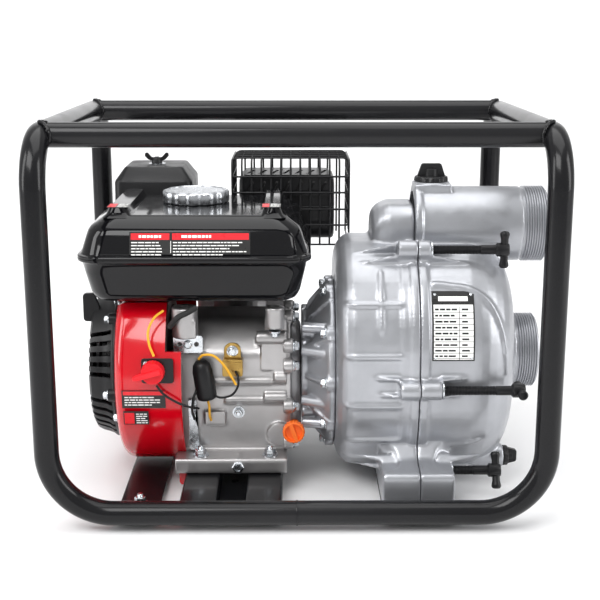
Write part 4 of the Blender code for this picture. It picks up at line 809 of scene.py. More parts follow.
def make_cap():
    """The scalloped filler cap, with a ribbed edge and a dished top."""
    lobes = 12
    height = CAP_HIGH.z - CAP_LOW.z
    outer = (CAP_HIGH.x - CAP_LOW.x) / 2
    rings = []
    levels = [
        (0.72, 0), (0.985, 0.4), (1, 1.6), (1, height - 2.6), (0.975, height - 0.9),
        (0.93, height - 0.2),
    ]
    levels += [(0.86, height - 0.2), (0.84, height - 0.9), (0.3, height - 1.1), (0.12, height - 0.7)]
    for share, level in levels:
        ring = []
        for k in range(144):
            turn = 2 * math.pi * k / 144
            dent = 0.055 * (0.5 - 0.5 * math.cos(lobes * turn)) ** 2 if share > 0.8 else 0
            r = outer * share * (1 - dent)
            ring.append((CAP.x + r * math.cos(turn), CAP.y + r * math.sin(turn), CAP_LOW.z + level))
        rings.append(ring)
    piece("filler_cap", skin(rings), CHROME, ["fuel_cap"], "tank_cap", angle=40)
    under = turned([(0, -0.1), (27.5, -0.1), (27.5, 0.5), (0, 0.5)], (CAP.x, CAP.y, CAP_LOW.z), AXES[Z])
    piece("filler_cap_seal", under, RUBBER, rides="tank_cap")


def make_tank_labels():
    draw = random.Random(4)
    front = TANK_FRAME[0].y
    low_z = TANK_FRAME[0].z + 6
    high_z = CAP_LOW.z - 14.8
    foot = Vector((-180, front + 3.8, low_z))
    head = Vector((-180, front + 10.8, high_z))
    up = head - foot
    width = 130
    bars = [
        (1.5, up.length - 8.5, 43, up.length - 1.5, 2),
        (46, up.length - 8.5, width - 1.5, up.length - 1.5, 2),
    ]
    bars += rows(draw, 10, 36, up.length - 3.6, 9, 1, 2.8)
    bars += rows(draw, 56, 98, up.length - 3.6, 9, 1, 2.8)
    bars += rows(draw, 2, 43, up.length - 11, 3.3, 6, 1.1)
    bars += rows(draw, 47, width - 4, up.length - 11, 3.3, 6, 1.1)
    bars.append((44.2, 1.5, 44.8, up.length - 10, 1))
    label("tank_front_label", foot, AXES[X], up, (width, up.length), bars)
    for name, x, width in (("left", -208, 24), ("right", -38.5, 21)):
        bars = [(0.8, 0.8, width * 0.4, 25, 2)]
        bars += rows(draw, width * 0.46, width, 24, 3.4, 7, 1.5)
        spot = Vector((x, front + 36.5, TANK_HIGH.z + 0.1))
        label(f"tank_top_label_{name}", spot, AXES[X], AXES[Y], (width, 26), bars)


# ---------------------------------------------------------------- intake and exhaust


def filter_ring(inset, radius, level):
    low = (FILTER_LOW.x + inset, FILTER_LOW.y + inset)
    high = (FILTER_HIGH.x - inset, FILTER_HIGH.y - inset)
    return ring_at(rounded(low, high, radius, 7), Z, level)


def make_air_filter():
    low, high = cad("air_filter_base")
    base = [
        filter_ring(*row) for row in (
            (7, 7, low.z), (5, 8, low.z + 1.5), (2, 9, high.z - 5), (0.4, 10, high.z - 4),
            (0.4, 10, high.z),
        )
    ]
    duct = rod((CARB_X, CARB_Y, low.z - 2), (CARB_X, CARB_Y, high.z + 2), 10, 32)
    piece("filter_base_moulding", carved(skin(base), cut=[duct]), PLASTIC, ["air_filter_base"], bevel=0.5)
    top = FILTER_HIGH.z
    split = FILTER_LOW.z
    cover = [
        filter_ring(*row) for row in (
            (0.6, 10, split), (0, 10, split + 0.6), (0, 10, split + 4), (1, 10, split + 5),
            (1.6, 10, top - 19), (2.6, 9.5, top - 16.5), (13, 7, top - 2), (15, 6, top - 0.5),
            (19, 4, top),
        )
    ]
    centre = ((FILTER_LOW.x + FILTER_HIGH.x) / 2, (FILTER_LOW.y + FILTER_HIGH.y) / 2)
    dish = turned([(0, -1.2), (10, -1.2), (13, 3), (0, 3)], (*centre, top), AXES[Z], 32)
    hollow = skin([filter_ring(3, 8, split - 1), filter_ring(4, 8, top - 20), filter_ring(17, 4, top - 3)])
    hole = rod((*centre, top - 12), (*centre, top + 5), 3.6, 24)
    piece(
        "filter_cover_moulding", carved(skin(cover), cut=[hollow, dish, hole]), PLASTIC,
        ["air_filter_cover"], angle=28,
    )
    spot = Vector((*centre, top + 0.3))
    hub = turned(
        [(0, -4), (3.1, -4), (3.1, 0), (7, 0), (6.6, 3), (5, 7), (2.4, 8.2), (0, 8.2)], spot,
        AXES[Z], 32,
    )
    parts = [hub]
    for side in (-1, 1):
        wing = [
            (side * 3, 1.5), (side * 11, 4.5), (side * 15.4, 9), (side * 15, 13),
            (side * 11.5, 13.4), (side * 7, 8), (side * 3, 7),
        ]
        shape = filleted([(spot.x + a, spot.z + b) for a, b in wing], [0, 3, 2, 1.6, 1.6, 3, 0], 4)
        parts.append(prism(shape, Y, spot.y - 1.4, spot.y + 1.4))
    piece("filter_wing_nut", joined(parts), PLASTIC, ["air_filter_wing_nut"], "filter_nut", bevel=0.4)
    washer = turned([(3.4, -1), (11, -1), (11, 0.1), (3.4, 0.1)], (*centre, top), AXES[Z], 40)
    piece("filter_washer", washer, ZINC, bevel=0.2)


def louvres(low, high, radius, axis, near, far):
    """The seven slanted slots of a muffler shield, between two levels on its face."""
    span = MUFFLER_HIGH.x - MUFFLER_LOW.x - 28
    slots = []
    for k in range(7):
        x = MUFFLER_LOW.x + 14 + k * span / 6
        ring = [(x - 6, low), (x - 2, low), (x + 6, high), (x + 2, high)]
        slots.append(prism(filleted(ring, radius, 3), axis, near, far))
    return slots


def make_muffler():
    low, high = MUFFLER_LOW, MUFFLER_HIGH
    bottom = 250
    stack = []
    for x, inset in (
        (low.x, 5), (low.x + 1.2, 1.6), (low.x + 3.4, 0.2), (high.x - 3.4, 0.2),
        (high.x - 1.2, 1.6), (high.x, 5),
    ):
        shape = rounded((low.y + inset, bottom + inset), (high.y - inset, high.z - inset), 16, 10)
        stack.append(ring_at(shape, X, x))
    tail = Vector((high.x, 150, 300))
    pipe = rod((-41.5, 112, low.z), (-41.5, 112, bottom + 1), 14, 32)
    outlet = rod(tail - AXES[X] * 12, tail + AXES[X] * 5, 9, 28)
    body = carved(skin(stack), add=[pipe], cut=[outlet])
    piece("muffler_can", body, HOT, ["muffler"], angle=30)
    seam = [(low.x - 0.1, bottom + 42), (high.x + 0.1, bottom + 42)]
    flange = rounded((low.y - 1.6, seam[0][1] - 1.2), (high.y + 1.6, seam[0][1] + 1.2), 1.1, 3)
    piece("muffler_seam", prism(flange, X, low.x + 2, high.x - 2), HOT)
    y = low.y - 3.4
    plate = prism(rounded((low.x + 3, 306), (high.x - 3, 331), 5, 5), Y, y, y + 1.2)
    slots = louvres(312, 325, 1.4, Y, y - 4, y + 6)
    piece("muffler_shield_front", carved(plate, cut=slots), HOT, bevel=0.25)
    outline = rounded((low.x + 6, low.y + 6), (high.x - 6, high.y - 6), 8, 5)
    plate = prism(outline, Z, high.z + 0.6, high.z + 2.2)
    slots = louvres(112, 150, 1.6, Z, high.z + 0.2, high.z + 6)
    piece("muffler_shield_top", carved(plate, cut=slots), HOT, bevel=0.25)


def make_guard():
    """The welded wire cage: hoops bent over the top, and straight wires along and across them."""
    low, high = GUARD_LOW, GUARD_HIGH
    r = 1.25
    wires = []
    count = 13
    front, back = low.y + r, high.y - r
    for k in range(count):
        x = low.x + r + (high.x - low.x - 2 * r) * k / (count - 1)
        path = [(x, front, low.z + r), (x, front, high.z - r), (x, back, high.z - r), (x, back, low.z + r)]
        wires.append(swept(filleted(path, [0, 9, 9, 0], 5), r, 8))
    left, right = low.x + r, high.x - r
    for z in (low.z + r + 1, low.z + 27, low.z + 47, low.z + 68, low.z + 88):
        inset = 0 if z < high.z - 15 else 1.5
        loop = [
            (left, back, z), (left, front - 2 * r + inset, z), (right, front - 2 * r + inset, z),
            (right, back, z),
        ]
        wires.append(swept(filleted(loop, [0, 6, 6, 0], 4), r, 8))
    for y in (front + 12, front + 32, front + 52, front + 72, back - 8):
        drop = low.z + 20
        loop = [(left, y, drop), (left, y, high.z + r - 1), (right, y, high.z + r - 1), (right, y, drop)]
        wires.append(swept(filleted(loop, [0, 8, 8, 0], 5), r, 8))
    piece("guard_wires", joined(wires), HOT, ["muffler_guard"], angle=60)


def make_carburettor():
    low, high = cad("carburettor")
    x, y = CARB_X, CARB_Y
    body = [block((low.x, 100, 190), (-130, 132, 224))]
    body.append(
        turned(
            [(0, 0), (14, 0), (18, 3), (18.4, 8), (18.4, 26), (18.6, 27), (18.6, 30), (0, 30)],
            (x, y, low.z), AXES[Z], 40,
        )
    )
    body.append(rod((x, y, 220), (x, y, high.z), 14, 36))
    body.append(rod((-134, y, 206), (high.x, y, 206), 12, 32))
    body.append(prism(rounded((y - 22, 190), (y + 22, 222), 8, 5), X, -133.5, -129.5))
    casting_body = cast_together(joined(body), 0.9, 2)
    piece("carburettor_casting", casting_body, CAST, ["carburettor"], angle=60)
    screws = bolt((x, y, low.z), -AXES[Z], 8, 4, 6) + bolt((x - 8, 100, 196), -AXES[Y], 6, 3, 4)
    screws += bolt((x + 9, 100, 217), -AXES[Y], 6, 3, 4)
    piece("carburettor_screws", joined(screws), ZINC)


def make_levers():
    """The choke, fuel and throttle levers, each a dished plate on a round boss."""
    levers = (
        ("choke_lever", "choke", AXES[X] * -1, AXES[Z], 18, PLASTIC),
        ("fuel_cock_lever", "fuel_cock", AXES[X] * -1, AXES[Y] * -1, 20, PLASTIC),
        ("throttle_lever", "throttle", AXES[Y] * -1, AXES[X] * -1, 24, ZINC),
    )
    for node, body, axis, reach, length, finish in levers:
        pivot = joint_place(body)
        side = axis.cross(reach)
        rings = []
        for depth, ease in ((0, 0.4), (0.4, 0), (2.1, 0), (2.5, 0.4)):
            ring = []
            for start, spot, r in ((0.5, pivot, 5.6 - ease), (-0.5, pivot + reach * length, 4.2 - ease)):
                for k in range(25):
                    turn = math.pi * (start + k / 24)
                    out = reach * math.cos(turn) + side * math.sin(turn)
                    ring.append(spot + axis * depth + out * r)
            rings.append(ring)
        boss = turned([(0, 2), (3.4, 2), (3.4, 3), (2.8, 3.2), (0, 3.2)], pivot, axis, 24)
        piece(f"{node}_plate", joined([skin(rings), boss]), finish, [node], body)


# ---------------------------------------------------------------- fan cover, starter and switch


def round_crank(r, turn):
    """The y and z of a point round the crank axis, its angle in degrees from +Y."""
    angle = math.radians(turn)
    return CRANK.y + r * math.cos(angle), CRANK.z + r * math.sin(angle)


def crank_bar(start, end, r, sides):
    """A round bar along the crank axis, between two values of x."""
    return rod((start, CRANK.y, CRANK.z), (end, CRANK.y, CRANK.z), r, sides)


def about_crank(profile, x, direction, sides):
    """A profile turned about the crank axis."""
    return turned(profile, (x, CRANK.y, CRANK.z), direction, sides)


def clipped_disc(r, x, top):
    """A circle round the crank, cut off flat above, at one x."""
    ring = []
    for k in range(96):
        turn = 2 * math.pi * (k + 0.5) / 96
        z = min(CRANK.z + r * math.sin(turn), top)
        ring.append((x, CRANK.y + r * math.cos(turn), z))
    return ring


def make_fan_cover():
    r = FAN_HIGH.y - CRANK.y
    top = FAN_HIGH.z
    low, high = FAN_LOW.x, FAN_HIGH.x
    rings = []
    insets = [(high, 0.6), (high - 1, 0), (low + 13, 0), (low + 7.5, 1.8), (low + 3.2, 6), (low + 0.9, 11)]
    for x, inset in (*insets, (low, 16)):
        rings.append(clipped_disc(r - inset, x, top - inset * 0.6))
    inner = []
    for x, inset in ((low - 5, 31), (low + 2.5, 29), (low + 3, 10), (low + 9, 4), (high + 5, 3)):
        inner.append(clipped_disc(r - inset, x, top - inset * 0.6 - (0 if inset > 28 else 1)))
    eye = crank_bar(low - 8, low + 8, FAN_EYE_R, 90)
    notch = block((-145, -160, 166), (high + 4, -60, top + 20))
    hole = crank_bar(low + 22, high + 4, r - 3.4, 80)
    shell = carved(skin(rings), cut=[eye, hole, notch])
    piece("fan_cover_shell", shell, RED, ["fan_cover"], bevel=0.6, angle=30)
    fixings = []
    for turn in (28, 118, 208, 298):
        fixings += bolt((low + 0.6, *round_crank(92.5, turn)), -AXES[X], 8, 4, 6.5)
    piece("fan_cover_bolts", joined(fixings), ZINC)
    corners = [(-134, 4), (-104, 4), (-104, 24), (-134, 24)]
    tab = prism(filleted(corners, [4, 0, 0, 4], 4), Y, -112.5, -110.5)
    piece("fan_cover_tab", tab, RED, bevel=0.3)
    piece("fan_cover_tab_rivets", joined(bolt((-118, -112.5, 15), -AXES[Y], 6, 2, 4.4)), ZINC)


def make_starter():
    low, high = STARTER_LOW.x, STARTER_HIGH.x
    profile = [(92, 0), (92, 2.5), (90.5, 3.4), (89.5, 5), (89, 8), (86, 12), (84, 18), (82.4, 24)]
    profile += [(80, 29), (74.5, 32.1), (60, 32.7), (52, 31.6), (46, 31.4), (0, 31.4)]
    front = about_crank(profile, high, -AXES[X], 120)
    hollow = [(0, -2), (87, -2), (85, 6), (80, 21), (71, 28.6), (0, 29)]
    cuts = [about_crank(hollow, high, -AXES[X], 72)]
    for start in (143, 197):
        for k in range(5):
            turn = math.radians(start + 8 * k)
            spoke = Vector((0, math.cos(turn), math.sin(turn)))
            side = Vector((0, -math.sin(turn), math.cos(turn)))
            ring = []
            for reach, half in ((68, -2.6), (99, -2.6), (99, 2.6), (68, 2.6)):
                ring.append(CRANK + spoke * reach + side * half)
            rings = [[(x, p.y, p.z) for p in ring] for x in (low - 4, high - 5.5)]
            cuts.append(skin(rings))
    body = carved(front, cut=cuts)
    body = carved(body, add=[block((low + 6, 56, 152), (high - 4, 72, 206))])
    piece("starter_cover", body, PLASTIC, ["starter_housing"], angle=28)
    ribs = []
    for r in (40, 58):
        rib = [(r, 0.4), (r + 2.2, 0.4), (r + 1.9, -1.4), (r + 0.3, -1.4)]
        ribs.append(about_crank(rib, low + 1.2, AXES[X], 72))
    piece("starter_face_rings", joined(ribs), PLASTIC)
    bosses = []
    fixings = []
    for turn in (48, 132, 190, 300):
        y, z = round_crank(88, turn)
        bosses.append(turned([(0, 0), (8, 0), (7, -9), (0, -9)], (high, y, z), AXES[X], 28))
        fixings += bolt((high - 9, y, z), -AXES[X], 8, 4, 6.4)
    piece("starter_bosses", joined(bosses), PLASTIC, bevel=0.4)
    piece("starter_bolts", joined(fixings), ZINC)
    ear = filleted([(-245, 184), (-232, 184), (-226, 200), (-232, 217), (-245, 217)], [4, 2, 2, 2, 4], 4)
    piece("starter_ear", prism(ear, Y, -62, -56), PLASTIC, bevel=0.6)


def make_handle():
    low, high = cad("starter_handle")
    x, y = (low.x + high.x) / 2, (low.y + high.y) / 2
    shape = []
    for z, wide, deep, corner in (
        (low.z, 9, 8, 7), (low.z + 3, 12, 11, 8), (low.z + 20, 13, 12, 9), (low.z + 31, 11, 10, 8),
        (high.z - 20, 13, 12, 9), (high.z - 3, 12, 11, 8), (high.z, 9, 8, 7),
    ):
        ring = rounded((x - wide, y - deep), (x + wide, y + deep), corner * 0.95, 6)
        shape.append(ring_at(ring, Z, z))
    piece("starter_grip_moulding", skin(shape), PLASTIC, ["starter_handle"], "starter_grip", angle=60)
    plug = turned(
        [(0, 0), (5, 0), (4.4, 2), (3, 3), (0, 3)], (x, high.y - 0.2, (low.z + high.z) / 2),
        AXES[Y], 32,
    )
    piece("starter_rope_plug", plug, RUBBER, rides="starter_grip")


def make_switch():
    low, high = PLATE_LOW, PLATE_HIGH
    plate = prism(rounded((low.x, low.z), (high.x, high.z), 3, 5), Y, low.y, high.y)
    leg = block((high.x - 3, low.y + 1, low.z + 4), (high.x - 0.5, -96, high.z - 4))
    piece("switch_plate_pressed", carved(plate, add=[leg]), PLASTIC, ["engine_switch_plate"], bevel=0.4)
    centre = joint_place("switch_knob")
    centre.y = KNOB_HIGH.y
    depth = KNOB_HIGH.y - KNOB_LOW.y
    shape = [
        (0, 0.9), (1, 1), (depth * 0.55, 0.98), (depth * 0.78, 0.92), (depth * 0.8, 0.7),
        (depth * 0.8, 0.02),
    ]
    rings = []
    for level, share in shape:
        ring = []
        for k in range(96):
            turn = 2 * math.pi * k / 96
            knurl = 1 - (0.03 if share > 0.8 else 0) * (0.5 - 0.5 * math.cos(24 * turn))
            r = 13 * share * knurl
            ring.append((centre.x + r * math.cos(turn), centre.y - level, centre.z + r * math.sin(turn)))
        rings.append(ring)
    points = Vector((-0.96, 0, -0.28)).normalized()
    side = Vector((0.28, 0, -0.96)).normalized()
    reach = (centre.x - KNOB_LOW.x) / 0.96 - 0.6
    ridge = []
    for level, grow in ((depth * 0.45, 0), (depth - 0.8, -0.2), (depth, -1)):
        ring = []
        for along, out in (
            (-9.5, 3.2), (reach - 4, 2.6), (reach, 1.4), (reach, -1.4), (reach - 4, -2.6),
            (-9.5, -3.2),
        ):
            spot = centre + points * (along * (1 + grow * 0.03)) + side * (
                out + grow * math.copysign(0.5, out)
            )
            ring.append((spot.x, centre.y - level, spot.z))
        ridge.append(ring)
    piece(
        "switch_knob_moulding", joined([skin(rings), skin(ridge)]), RED_PLASTIC,
        ["engine_switch_knob"], "switch_knob",
    )
    screws = bolt((low.x + 5, low.y, low.z + 5), -AXES[Y], 4, 1.2, 3) + bolt(
        (low.x + 5, low.y, high.z - 5), -AXES[Y], 4, 1.2, 3,
    )
    piece("switch_screws", joined(screws), ZINC)
    draw = random.Random(9)
    bars = [(1.5, 15.5, 48.5, 20, 2)] + rows(draw, 3, 44, 13.4, 3, 4, 1.2)
    label(
        "warning_label_wide", (-193, CRANK.y - 113.4, 104), AXES[X],
        AXES[Z] * 0.99 + AXES[Y] * -0.1, (48, 21), bars,
    )
    bars = [(1, 1, 12, 15, 2)] + rows(draw, 14, 27, 14, 2.8, 5, 1.1)
    label(
        "warning_label_small", (-192, CRANK.y - 110.6, 84), AXES[X],
        AXES[Z] * 0.97 + AXES[Y] * -0.22, (28, 17), bars,
    )


# ---------------------------------------------------------------- engine


def make_crankcase():
    """The die-cast block on its foot, with its ribs and bosses melted in and its bores and channels cut."""
    low, high = CASE_LOW, CASE_HIGH
    block_side = prism(filleted(CASE_OUTLINE, CASE_FILLETS, 8), X, low.x, high.x)
    corners = [(-121, FOOT_LOW_Z), (62, FOOT_LOW_Z), (62, FOOT_TOP_Z), (-121, FOOT_TOP_Z)]
    foot = prism(filleted(corners, 3, 3), X, low.x, high.x)
    parts = [block_side, foot]
    front = BLOCK_FRONT_Y
    for z, start, end in ((120.4, -95, -29), (98, -82, -38)):
        parts.append(rod((start, front + 1.5, z), (end, front + 1.5, z), 4.2, 16))
    parts.append(block((-105.5, front - 6, 70), (-81.5, front + 4, 86)))
    parts.append(rod((-46, front + 4, 171), (high.x, front + 4, 171), 8, 24))
    parts.append(block((-40, front - 1.5, 134), (high.x, front + 6, 163)))
    parts.append(rod((-26, front + 1, 125), (high.x, front + 1, 125), 7, 24))
    parts.append(rod((-37, front + 1, 101), (high.x, front + 1, 101), 7, 24))
    for x in FOOT_STUD_X:
        parts.append(rod((x, FOOT_STUD_Y, FOOT_LOW_Z), (x, FOOT_STUD_Y, FOOT_TOP_Z), 11, 28))
    drain_x, drain_z = OIL_DRAIN
    parts.append(rod((drain_x, -118, drain_z), (drain_x, -100, drain_z), 10, 24))
    for x, low_z, r in zip(TANK_BOSS_X, (176, 186), (14.6, 11)):
        parts.append(rod((x, TANK_BOSS_Y, low_z), (x, TANK_BOSS_Y, 211), r, 32))
    parts.append(block((-127, -112, 176), (-112, -80, 196)))
    parts.append(block((-36, -104, 184), (high.x, -80, 196)))
    parts.append(rod((high.x - 9, -96, 58), (high.x - 9, -70, 58), 14, 24))
    parts.append(rod((-131, -111, 30), (-112, -111, 30), 6.2, 24))
    solid_case = cast_together(joined(parts), 1.5, 3)
    cuts = [rod((x, TANK_BOSS_Y, 195), (x, TANK_BOSS_Y, 220), 5, 20) for x in TANK_BOSS_X]
    cuts.append(crank_bar(low.x - 10, high.x + 10, 34, 48))
    piece("crankcase_casting", carved(solid_case, cut=cuts), CAST, ["crankcase"], angle=55)
    steels = []
    for y in (FOOT_STUD_Y, 48):
        for x in FOOT_STUD_X:
            steels += nut_on_stud((x, y, FOOT_TOP_Z), AXES[Z], 11, 9, 4)
    steels += bolt((drain_x, -118.4, drain_z), -AXES[Y], 12, 5, 9)
    steels += bolt((TANK_BOSS_X[0], TANK_BOSS_Y, 176), -AXES[Z], 10, 5, 8)
    steels += bolt((TANK_BOSS_X[1], -107, 184), -AXES[Z], 9, 5, 7)
    steels += nut_on_stud((drain_x, front - 0.4, 84), -AXES[Y], 9, 7, 3)
    piece("crankcase_fasteners", joined(steels), ZINC)
    piece("foot_side_bolt", joined(bolt((-131, -111, 30), -AXES[X], 9, 5, 6.5)), HOT)
    bracket = filleted([(-138, 159), (-105, 159), (-105, 179), (-138, 179)], 3, 4)
    holes = [rod((x, -110, 169), (x, -100, 169), 2.6, 20) for x in (-131, -112)]
    piece("front_bracket", carved(prism(bracket, Y, -107, -105), cut=holes), ZINC, bevel=0.3)
    piece("front_bracket_bolts", joined(bolt((-121.5, -107, 169), -AXES[Y], 7, 3, 5)), ZINC)


def make_side_cover():
    """The cover on the pump side, bolted to the block all round."""
    low, high = cad("crankcase_side_cover")
    corners = [(-90, 40), (-90, 152), (-60, 186), (-2, 186), (43, 122), (43, 40)]
    outline = filleted(corners, [8, 18, 18, 8, 8, 8], 8)
    slab = prism(outline, X, low.x + 0.1, low.x + 9)
    inner = []
    centre = Vector((-24, 108))
    for x, share in ((low.x + 7, 0.93), (high.x - 5, 0.86), (high.x - 1, 0.8), (high.x, 0.74)):
        inner.append([(x, *(centre + (point - centre) * share)) for point in outline])
    bosses = []
    bolts = []
    for y, z in (
        (-91, 163), (-93, 140), (-93, 92), (-91, 48), (-55, 188), (0, 186), (30, 146), (46, 110),
        (46, 60), (-20, 40), (-60, 42),
    ):
        bosses.append(rod((low.x + 0.1, y, z), (low.x + 12, y, z), 8.4, 24))
        bolts += bolt((low.x + 12, y, z), AXES[X], 9, 5, 7)
    body = cast_together(joined([slab, skin(inner), *bosses]), 1.4, 3)
    bore = crank_bar(low.x - 5, high.x + 5, 16, 40)
    piece("side_cover_casting", carved(body, cut=[bore]), CAST, ["crankcase_side_cover"], angle=55)
    piece("side_cover_bolts", joined(bolts), ZINC)


def make_dipstick():
    low, high = DIP_LOW, DIP_HIGH
    spot = joint_place("dipstick")
    face = Vector((spot.x, low.y, spot.z))
    rings = []
    for level, share in (
        (-9.4, 0.84), (-8.6, 0.98), (-1.2, 0.98), (0, 0.9), (0.1, 0.78), (-3.6, 0.72), (-4, 0.05),
    ):
        ring = []
        for k in range(120):
            turn = 2 * math.pi * k / 120
            knurl = 1 - (0.05 if share > 0.8 else 0) * (0.5 - 0.5 * math.cos(20 * turn))
            spoke = AXES[X] * math.cos(turn) + AXES[Z] * math.sin(turn)
            ring.append(face + spoke * (13 * share * knurl) - AXES[Y] * level)
        rings.append(ring)
    tilt = Matrix.Rotation(math.radians(20), 2)
    outline = [tilt @ Vector((p[0], p[1])) for p in rounded((-2.4, -11), (2.4, 11), 2.3, 4)]
    bar = prism([(spot.x + p.x, spot.z + p.y) for p in outline], Y, low.y - 0.6, low.y + 5)
    shank = rod((spot.x, face.y + 9, spot.z), (spot.x, high.y, spot.z), 6.5, 28)
    piece(
        "dipstick_moulding", joined([skin(rings), bar, shank]), ORANGE, ["oil_dipstick"],
        "dipstick", bevel=0.3,
    )


def make_wiring():
    low, high = cad("oil_sensor_box")
    body = prism(rounded((low.x, 130), (high.x, 150), 2, 4), Y, low.y, high.y)
    corners = [(-82, 147), (-63, 147), (-63, 168), (-82, 168)]
    lid = prism(filleted(corners, [0, 0, 8.5, 8.5], 8), Y, -98.3, -95)
    piece("sensor_case", joined([body, lid]), GOLD, ["oil_sensor_box"], bevel=0.5)
    piece("sensor_screw", joined(bolt((-72.5, -98.3, 158.5), -AXES[Y], 8, 3.4, 6.6)), ZINC)
    strap = prism(rounded((low.x + 1, 144.5), (high.x - 1, 147), 1, 3), Y, low.y - 0.8, low.y + 1)
    piece("sensor_strap", strap, GOLD, bevel=0.3)
    start, end = Vector((-101, -105, 104)), Vector((-108, -104, 149))
    along = (end - start).normalized()
    length = (end - start).length
    profile = [
        (0, 0), (8, 0), (10.6, 1.5), (11.4, 5), (11.4, length - 12), (9.6, length - 4), (6, length),
        (0, length),
    ]
    piece("diode_sleeve_skin", turned(profile, start, along, 40), PLASTIC, ["diode_sleeve"], angle=60)
    loops = (
        (
            "wire_live", YELLOW, ["wire_switch_live"], 1.35,
            [
                (-156, -139, 164.5), (-161, -137, 178), (-162, -132, 192), (-156, -124, 204),
                (-147, -116, 210),
            ],
        ),
        (
            "wire_earth", PLASTIC, ["wire_switch_earth"], 1.35,
            [(-154, -141, 132), (-146, -142, 122), (-133, -141, 113), (-120, -134, 105), (-110, -119, 98)],
        ),
        (
            "wire_sensor_lead", YELLOW, ["wire_sensor"], 1.45,
            [(-110, -107, 152), (-104, -112, 158), (-92, -116, 158), (-80, -117, 146), (-68, -114, 124)],
        ),
        (
            "wire_sensor_loop", PLASTIC, (), 1.3,
            [
                (-69, -103, 136), (-66, -110, 132), (-66, -113, 122), (-73, -114, 112),
                (-86, -111, 108), (-97, -105, 111),
            ],
        ),
        (
            "wire_sensor_drop", YELLOW, (), 1.4,
            [(-101, -105, 104), (-99, -107, 96), (-99, -104, 84), (-98, -96, 76)],
        ),
        (
            "wire_ignition", RUBBER, (), 3.2,
            [(-141, -112, 190), (-132, -118, 202), (-121, -119, 208), (-110, -117, 214)],
        ),
        (
            "wire_stop", RUBBER, (), 1.5,
            [(-112, -108, 118), (-116, -112, 108), (-118, -110, 92), (-116, -104, 80)],
        ),
    )
    for name, finish, stands, r, points in loops:
        piece(name, swept(line(points, 10), r, 12), finish, stands, angle=60)


def make_governor():
    low, high = cad("governor_arm")
    pivot = joint_place("governor")
    outline = [(-4, -5.5), (4, -5.5), (6, 0), (5, 20), (2, 30), (4, 54), (-6, 54), (-5, 28), (-6, 0)]
    shape = filleted([(pivot.x + a, pivot.z + b) for a, b in outline], 1.6, 3)
    arm = prism(shape, Y, low.y, low.y + 2.4)
    hole = rod((pivot.x - 0.8, low.y - 3, pivot.z + 47), (pivot.x - 0.8, low.y + 5, pivot.z + 47), 1.9, 20)
    pin = rod((pivot.x, low.y - 0.3, pivot.z), (pivot.x, high.y, pivot.z), 3.2, 24)
    piece(
        "governor_plate", carved(arm, add=[pin], cut=[hole]), ZINC, ["governor_arm"], "governor",
        bevel=0.3,
    )


# ---------------------------------------------------------------- pump


def pump_ring(x, inset):
    low = (PUMP_Y - PUMP_HALF_Y + inset, PUMP_Z - PUMP_HALF_Z + inset)
    high = (PUMP_Y + PUMP_HALF_Y - inset, PUMP_Z + PUMP_HALF_Z - inset)
    return ring_at(rounded(low, high, PUMP_CORNER - inset, 20), X, x)


def inset_at(x):
    """How far the pump's outer surface stands in from its full size at one x."""
    table = ((44, 22), (50, 8), (62, 0), (186, 0), (192, 0), (210, 4), (228, 14), (239, 30), (244, 48))
    for (start, first), (end, last) in zip(table, table[1:]):
        if x <= end:
            return first + (last - first) * max(x - start, 0) / (end - start)
    return table[-1][1]


def front_y(x, z, out=0.0):
    """The y of the pump's front surface, a little further out where asked."""
    inset = inset_at(x) - out
    straight = PUMP_HALF_Z - PUMP_CORNER
    off = max(abs(z - PUMP_Z) - straight, 0)
    r = PUMP_CORNER - inset
    return PUMP_Y - (PUMP_HALF_Y - PUMP_CORNER) - math.sqrt(max(r * r - off * off, 0))


def front_bead(points, r, sink=0.0):
    """A raised bead along the pump's front surface, through points of (x, z)."""
    path = [
        Vector((p.x, front_y(p.x, p.y, -sink), p.y)) for p in line([Vector((x, z)) for x, z in points], 8)
    ]
    radii = [r] * len(path)
    radii[0] = radii[-1] = r * 0.5
    return swept(path, radii, 12)


def rear_bead(points, r):
    path = [
        Vector(
            (p.x, 2 * PUMP_Y - front_y(p.x, p.y), p.y)
        ) for p in line([Vector((x, z)) for x, z in points], 8)
    ]
    return swept(path, r, 12)


def foot_prism(low, high):
    """The cast foot under one half of the pump, its sides swept up into the body."""
    outline = [(-163, 3.8), (-163, 43), (-128, 47), (-105, 75), (105, 75), (128, 47), (163, 43), (163, 3.8)]
    radii = [2, 6, 14, 0, 0, 14, 6, 2]
    body = prism(filleted([(PUMP_Y + a, b) for a, b in outline], radii, 6), X, low, high)
    return carved(body, cut=notches(low if low == FOOT_LEFT_X else high))


def clamp_places():
    """Each clamp screw's name, body, y and z."""
    for name in CLAMPS:
        body = name.replace("screw_", "")
        spot = joint_place(body)
        yield name, body, spot.y, spot.z


def clamp_bosses(low, high):
    """The lugs that the clamp screws pull together, with their ribs."""
    parts = []
    for name, _, y, z in clamp_places():
        start, end = max(112, low), min(CLAMPS[name][1], high)
        parts.append(rod((start, y, z), (end, y, z), CLAMP_BOSS_R, 32))
        towards = (Vector((0, PUMP_Y, PUMP_Z)) - Vector((0, y, z))).normalized()
        side = Vector((0, -towards.z, towards.y))
        at = Vector((0, y, z))
        ring = [at + side * 9, at + towards * 16 + side * 12, at + towards * 16 - side * 12, at - side * 9]
        parts.append(skin([[(x, p.y, p.z) for p in ring] for x in (start + 1, end - 1)]))
        run = -50 if low < 112 else 50
        base = start if run < 0 else min(end, 157)
        for share in (-1, 1):
            foot = at + side * (share * 9.5)
            inner = foot + towards * 14
            near = [(base, foot.y, foot.z), (base, inner.y, inner.z), (base + run, inner.y, inner.z)]
            far = [(p[0], p[1] + side.y * 3, p[2] + side.z * 3) for p in near]
            parts.append(skin([near, far]))
    return parts


